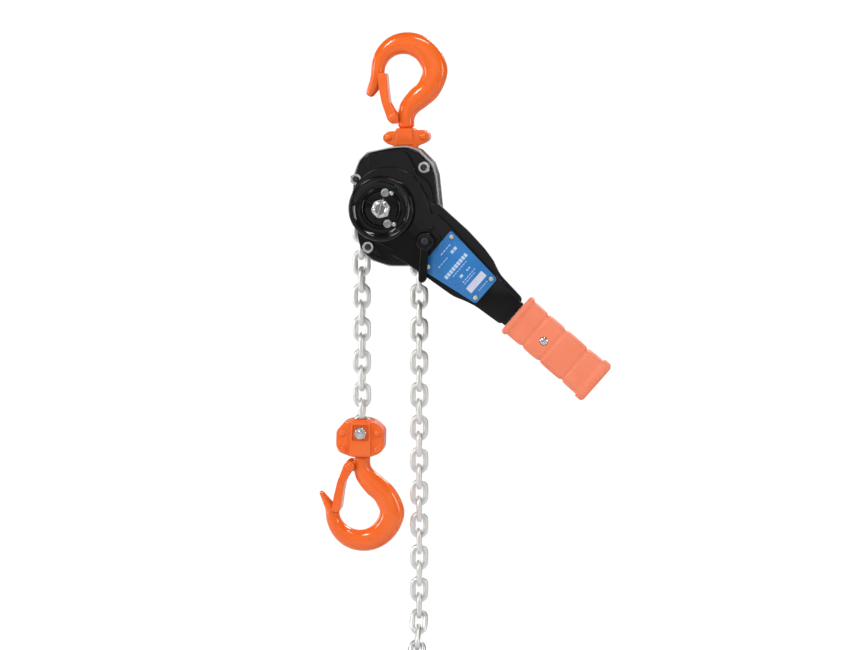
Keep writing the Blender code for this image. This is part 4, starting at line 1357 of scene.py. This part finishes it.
@dataclass
class Lever:
    """The pressed lever, its name plate, grip and selector.

    Attributes:
        selector: Where the selector's spindle is, in u and v.
        grip_start: Where the grip starts.
        grip_end: Where it ends.
        grip_mid: The grip's centre line, in v.
        grip_y: The grip's centre, in Y.
        grooves: Where its grooves are, along the lever.
        groove_half: Half the width of one.
    """

    selector: Point = (57.2, 3.9)
    grip_start: float = 180.0
    grip_end: float = 293.0
    grip_mid: float = 7.5
    grip_y: float = -45.0
    grooves: tuple[float, ...] = (207.0, 231.0, 262.0)
    groove_half: float = 1.6

    def outline(self, rear: bool) -> Profile:
        """Gives a shell's outline.

        Args:
            rear: Whether it is the wider rear shell.

        Returns:
            The outline, in u and v.
        """
        hub = arc(40.5, (2.4, 6.4), 40, 62, 285)
        lower = [(37, -32.5), (56, -28), (84, -25), (118, -21.8), (129, -17.7), (142, -14.2), (176, -11.4)]
        upper = [(176, 22), (141, 24.5), (100, 29.0), (68, 33), (45, 34)]
        if rear:
            upper = [(176, 23.8), (141, 27.5), (132, 31), (126, 34), (110, 37.8), (84, 40.8), (54, 41.5),
                     (38, 42)]
        return [*softened([*lower, *upper], 5, 3), *hub]

    def shells(self) -> None:
        """Builds the front and rear pressings, hollow between them."""
        hollow = [(38, -23), (84, -21), (118, -18), (140, -11), (166, -9), (166, 19), (138, 21), (68, 29),
                  (40, 29), *arc(24, (0, 0), 20, 70, 290)]
        spans = ((True, "rear", -44.0, -36.6, -46, -38.6), (False, "front", -50.4, -44.3, -48.4, -42))
        for rear, name, y0, y1, c0, c1 in spans:
            shell = lever_prism(f"lever_{name}_pressing", self.outline(rear), y0, y1, BLACK_PAINT)
            rounded(shell, 1.9, 4)
            cut(shell, lever_prism("hollow", hollow, c0, c1))
            drilled(shell, (0, 0), 21, 64)
            if not rear:
                drilled(shell, along_lever(*self.selector), 4.3, 32)
            finished(shell, "lever", f"lever_{name}_shell", angle=30)

    def tang(self) -> None:
        """Builds the steel tang between the shells and the grip's mouth."""
        outline = [(167, -9.5), (179.6, -9.5), (179.6, 20.5), (167, 20.5)]
        piece = rounded(lever_prism("lever_tang", outline, -49.6, -39.4, BLACK_PAINT), 0.8, 2)
        finished(piece, "lever")

    @staticmethod
    def small_print() -> list[tuple[float, float, float, float]]:
        """Gives the plate's plain printed bars.

        Returns:
            For each, u, v, thickness and length across the lever.
        """
        rows = [(79.0, 3.0, 0.9, 4, 3.2), (84.5, 12.0, 3.4, 2, 3.6), (86.0, -9.0, 0.8, 4, 3.0),
                (97.0, -12.5, 4.2, 9, 3.0), (103.6, -6.0, 0.8, 7, 2.4), (109.0, -1.5, 2.6, 1, 4.0),
                (110.0, 8.5, 1.6, 2, 2.2), (115.5, -4.0, 0.8, 6, 2.6), (118.0, -4.0, 0.8, 5, 2.6),
                (134.0, 1.0, 0.8, 5, 2.0)]
        return [(u, v + i * (length + 0.9), thick, length) for u, v, thick, n, length in rows for i in range(n)]

    def plate(self) -> None:
        """Builds the blue plate, its rivets and its plain printed bars."""
        outline = softened([(70.5, -22.5), (141, -11.8), (141, 23.0), (70.5, 30.2)], 3.0)
        plate = rounded(lever_prism("name_plate_foil", outline, -51.4, -50.6, BLUE_FOIL), 0.25, 2)
        finished(plate, "lever", "name_plate")
        band = [(122.5, -6.5, 7.6, 25.0)]
        prints = (("printed_bars", WHITE_INK, self.small_print()), ("serial_band", BAND_INK, band))
        for name, finish, bars in prints:
            marks = None
            for u, v, thick, length in bars:
                box = softened([(u, v), (u + thick, v), (u + thick, v + length), (u, v + length)], 0.4, 2)
                mark = lever_prism(name, box, -51.5, -51.2, finish)
                marks = join(marks, mark) if marks else mark
            finished(marks, "lever")
        for i, (u, v) in enumerate(((75.5, 25.2), (77, -15.5), (136, 18.8), (136.5, -7.1)), 1):
            head = [(-53.0, 0), (-53.0, 0.8), (-52.8, 1.6), (-52.3, 2.2), (-51.5, 2.6), (-50.7, 2.6), (-50.7, 0)]
            finished(turned(f"plate_rivet_{i}", head, along_lever(u, v), BRASS, 24), "lever")

    def grip(self) -> None:
        """Builds the rubber grip: end collars, grooves, scalloped sides and the screw's seat."""
        start, end = self.grip_start, self.grip_end
        stops = [start + u for u in (0, 0.8, 2, 5, 6.5, 8.5)]
        u = start + 11
        while u < end - 14:
            stops.append(u)
            u += 1.5
        stops += [end - u for u in (12.5, 10.5, 9, 3, 1.2, 0)]
        rings = []
        for u in stops:
            half, depth = 21.9, 12.0
            if u <= start + 5:
                half, depth = 24.4, 13.2
            elif u >= end - 9:
                half, depth = 24.5, 13.4
            elif u in (start + 6.5, end - 10.5):
                half, depth = 22.4, 12.4
            if u in (start, end):
                half, depth = half - 2.4, depth - 2.4
            elif u in (start + 0.8, end - 1.2):
                half, depth = half - 0.7, depth - 0.7
            for groove in self.grooves:
                dip = math.exp(-((u - groove) / self.groove_half) ** 2)
                half -= 1.5 * dip
                depth -= 1.1 * dip
            if start + 8 < u < end - 12:
                nearest = min(abs(u - g) for g in self.grooves)
                half += 0.55 * math.sin(min(1.0, nearest / 12) * math.pi / 2)
            rings.append(self.grip_ring(u, half, depth))
        grip = loft("lever_grip_moulding", rings, RUBBER)
        at = along_lever(221.0, 6.0)
        cut(grip, turned("seat", [(-70, 0), (-70, 5.4), (-56.0, 4.6), (-55.2, 4.6), (-55.2, 0)], at, None, 32))
        finished(grip, "lever", "lever_grip", angle=50)
        screw = [(-57.0, 0), (-57.0, 1.2), (-57.6, 1.6), (-57.4, 3.0), (-56.6, 4.0), (-55.5, 4.1), (-55.5, 0)]
        finished(turned("grip_screw_turned", screw, at, ZINC, 32), "lever", "grip_screw")

    def grip_ring(self, u: float, half: float, depth: float) -> list[Vector]:
        """Gives one rounded section of the grip.

        Args:
            u: Where it is along the lever.
            half: Half its width.
            depth: Half its depth.

        Returns:
            Its points, in world metres.
        """
        r = min(half, depth) * 0.62
        ring = []
        for corner, (sv, sy) in enumerate(((1, 1), (-1, 1), (-1, -1), (1, -1))):
            for step in range(8):
                a = math.radians(90 * corner + 90 * step / 7)
                v = self.grip_mid + sv * (half - r) + r * math.cos(a)
                y = self.grip_y + sy * (depth - r) + r * math.sin(a)
                x, z = along_lever(u, v)
                ring.append(world(x, y, z))
        return ring

    def knob(self) -> None:
        """Builds the selector: a dished boss with an arm, on its spindle."""
        x, z = along_lever(*self.selector)
        profile = [(-45, 0), (-45, 3.9), (-50.8, 3.9), (-50.8, 9.9), (-51.4, 10.2), (-57.2, 10.0), (-58.6, 9.4),
                   (-59.3, 8.4), (-59.1, 7.4), (-58.6, 6.6), (-58.5, 0)]
        knob = turned("selector_boss", profile, (x, z), BLACK_PAINT, 64)
        arm = [(-4.4, -2), (4.6, -2), (1.6, -41), (-2, -44.5), (-6.4, -43), (-6.8, -40)]
        arm = softened([(x + u, z + v) for u, v in arm], 2.5)
        join(knob, rounded(prism("arm", arm, -58.2, -52.2), 1.8, 4))
        finished(knob, "selector", "selector_knob")
        head = [(-60.1, 0), (-60.1, 1.8), (-59.7, 3.1), (-59.0, 3.7), (-58.45, 3.8), (-58.45, 0)]
        screw = turned("selector_screw", head, (x, z), DARK_STEEL_AND_SHADE, 32)
        for w, h in ((4.4, 0.9), (0.9, 4.4)):
            box = [(x + i * w / 2, z + k * h / 2) for i, k in ((-1, -1), (1, -1), (1, 1), (-1, 1))]
            cut(screw, prism("slot", box, -62, -59.3))
        finished(screw, "selector")
        stop = [(-52.9, 0), (-52.9, 1.4), (-52.4, 2.3), (-51.6, 2.6), (-50.45, 2.6), (-50.45, 0)]
        for i, at in enumerate(arc(14.4, (x, z), 1, 12, 62), 1):
            finished(turned(f"selector_mark_{i}", stop, at, BLACK_PAINT, 24), "lever")

    def build(self) -> None:
        """Builds the whole lever."""
        self.shells()
        self.tang()
        self.plate()
        self.grip()
        self.knob()


# ---- Surroundings --------------------------------------------------------------------------------


@dataclass
class Studio:
    """A plain white studio: floor, soft lights and the camera.

    Attributes:
        azimuth: The camera's turn to the right of straight ahead, in degrees.
        elevation: Its height above level, in degrees.
        distance: From its target, in metres.
        target: What it looks at, in metres.
        lens: Focal length for a 36 mm sensor, in mm.
        ambient: Strength of the even light.
        side_glow: Strength of what metal mirrors from the sides.
        front_glow: What is added to that from straight in front and behind.
        backdrop: Brightness of the floor and the surround as the camera sees them.
        floor_size: Half the floor's side, in metres.
    """

    azimuth: float = 6.0
    elevation: float = 6.0
    distance: float = 2.2
    target: tuple[float, float, float] = (0.0235, 0.0, -0.2921)
    lens: float = 85.7
    ambient: float = 0.45
    side_glow: float = 0.03
    front_glow: float = 0.95
    backdrop: float = 1.05
    floor_size: float = 12.0

    def floor(self) -> None:
        """Makes the pale floor below the hoist, evenly lit as the camera sees it."""
        mesh = bpy.data.meshes.new("studio_floor")
        size, low = self.floor_size, CAD_BOX[0][2] - 0.12
        corners = [(-size, -size, low), (size, -size, low), (size, size, low), (-size, size, low)]
        mesh.from_pydata(corners, [], [(0, 1, 2, 3)])
        material = bpy.data.materials.new("studio_white")
        tree = NodeTree(material)
        paint = tree.feed(tree.nodes["Principled BSDF"], {"Base Color": (0.8, 0.8, 0.8, 1), "Roughness": 0.9})
        glow = tree.add("Emission", {"Strength": self.backdrop})
        seen = tree.add("LightPath").outputs["Is Camera Ray"]
        mix = tree.add("MixShader", {"Fac": seen, 1: paint.outputs["BSDF"], 2: glow.outputs[0]})
        tree.feed(tree.nodes["Material Output"], {"Surface": mix.outputs[0]})
        mesh.materials.append(material)
        floor = bpy.data.objects.new("studio_floor", mesh)
        bpy.context.scene.collection.objects.link(floor)

    def light(self, name: str, place: tuple[float, float, float], size: Point, power: float) -> None:
        """Makes one soft rectangular light that faces the target.

        Args:
            name: Its name.
            place: Where it is, in metres.
            size: Its width and height, in metres.
            power: Its power, in watts.
        """
        data = bpy.data.lights.new(name, "AREA")
        data.shape = "RECTANGLE"
        data.size, data.size_y = size
        data.energy = power
        lamp = bpy.data.objects.new(name, data)
        lamp.location = place
        lamp.rotation_euler = (Vector(self.target) - Vector(place)).to_track_quat("-Z", "Y").to_euler()
        bpy.context.scene.collection.objects.link(lamp)

    def sky(self) -> None:
        """Makes the surround: white to look at, an even light, and a banded one in what the metal mirrors."""
        surround = bpy.data.worlds.new("studio")
        tree = NodeTree(surround)
        plain = tree.feed(tree.nodes["Background"], {"Color": (1, 1, 1, 1), "Strength": self.backdrop})
        ahead = tree.add("SeparateXYZ", {"Vector": tree.add("TexCoord").outputs["Generated"]}).outputs["Y"]
        glow = tree.maths("MULTIPLY_ADD", tree.maths("POWER", ahead, 4.0), self.front_glow, self.side_glow)
        mirrored = tree.add("Background", {"Strength": glow})
        even = tree.add("Background", {"Strength": self.ambient})
        ray = tree.add("LightPath").outputs
        lit = tree.add("MixShader", {"Fac": ray["Is Glossy Ray"], 1: even.outputs[0], 2: mirrored.outputs[0]})
        seen = tree.add("MixShader", {"Fac": ray["Is Camera Ray"], 1: lit.outputs[0], 2: plain.outputs[0]})
        tree.feed(tree.nodes["World Output"], {"Surface": seen.outputs[0]})
        bpy.context.scene.world = surround

    def camera(self) -> None:
        """Places the camera."""
        a, e = math.radians(self.azimuth), math.radians(self.elevation)
        back = Vector((math.sin(a) * math.cos(e), -math.cos(a) * math.cos(e), math.sin(e)))
        data = bpy.data.cameras.new("camera")
        data.lens = self.lens
        data.sensor_width = 36.0
        data.clip_end = 50.0
        camera = bpy.data.objects.new("camera", data)
        camera.location = Vector(self.target) + back * self.distance
        camera.rotation_euler = back.to_track_quat("Z", "Y").to_euler()
        bpy.context.scene.collection.objects.link(camera)
        bpy.context.scene.camera = camera

    def build(self) -> None:
        """Builds the studio."""
        self.floor()
        self.sky()
        self.light("key_light", (-1.3, -1.9, 1.35), (0.4, 0.7), 25)
        self.light("left_strip", (-2.3, -0.9, 0.0), (0.14, 1.3), 20)
        self.light("right_strip", (2.2, -1.1, 0.1), (0.14, 1.3), 16)
        self.light("top_strip", (0.7, -1.0, 1.9), (1.0, 0.16), 16)
        self.light("back_light", (0.9, 1.9, 1.2), (0.6, 1.0), 24)
        self.light("back_strip", (-1.9, 1.4, 0.0), (0.14, 1.3), 10)
        self.camera()
        bpy.context.scene.view_settings.view_transform = "Standard"


def dress_cad() -> None:
    """Gives every CAD node the finish that its slot in the record names."""
    slots = {p["node"]: p["material_slot"] for p in frame["record"]["subparts"]}
    for node, piece in frame["nodes"].items():
        finish = CARRIED[slots[node]]
        piece.data.materials.clear()
        piece.data.materials.append(finish.material())
        LOG.info("%s carries %s", node, finish.name)


def main() -> None:
    """Builds every sub-assembly in order."""
    logging.basicConfig(level=logging.INFO, format="%(message)s")
    dress_cad()
    Studio().build()
    FreeRun().build()
    LoadRun().build()
    ForgedHook("top", TOP_HOOK, False).build()
    ForgedHook("bottom", BOTTOM_HOOK, True, grow=2.4).build()
    TopYoke().build()
    BottomYoke().build()
    Housing().build()
    HandWheel().build()
    Lever().build()


if __name__ == "__main__":
    main()
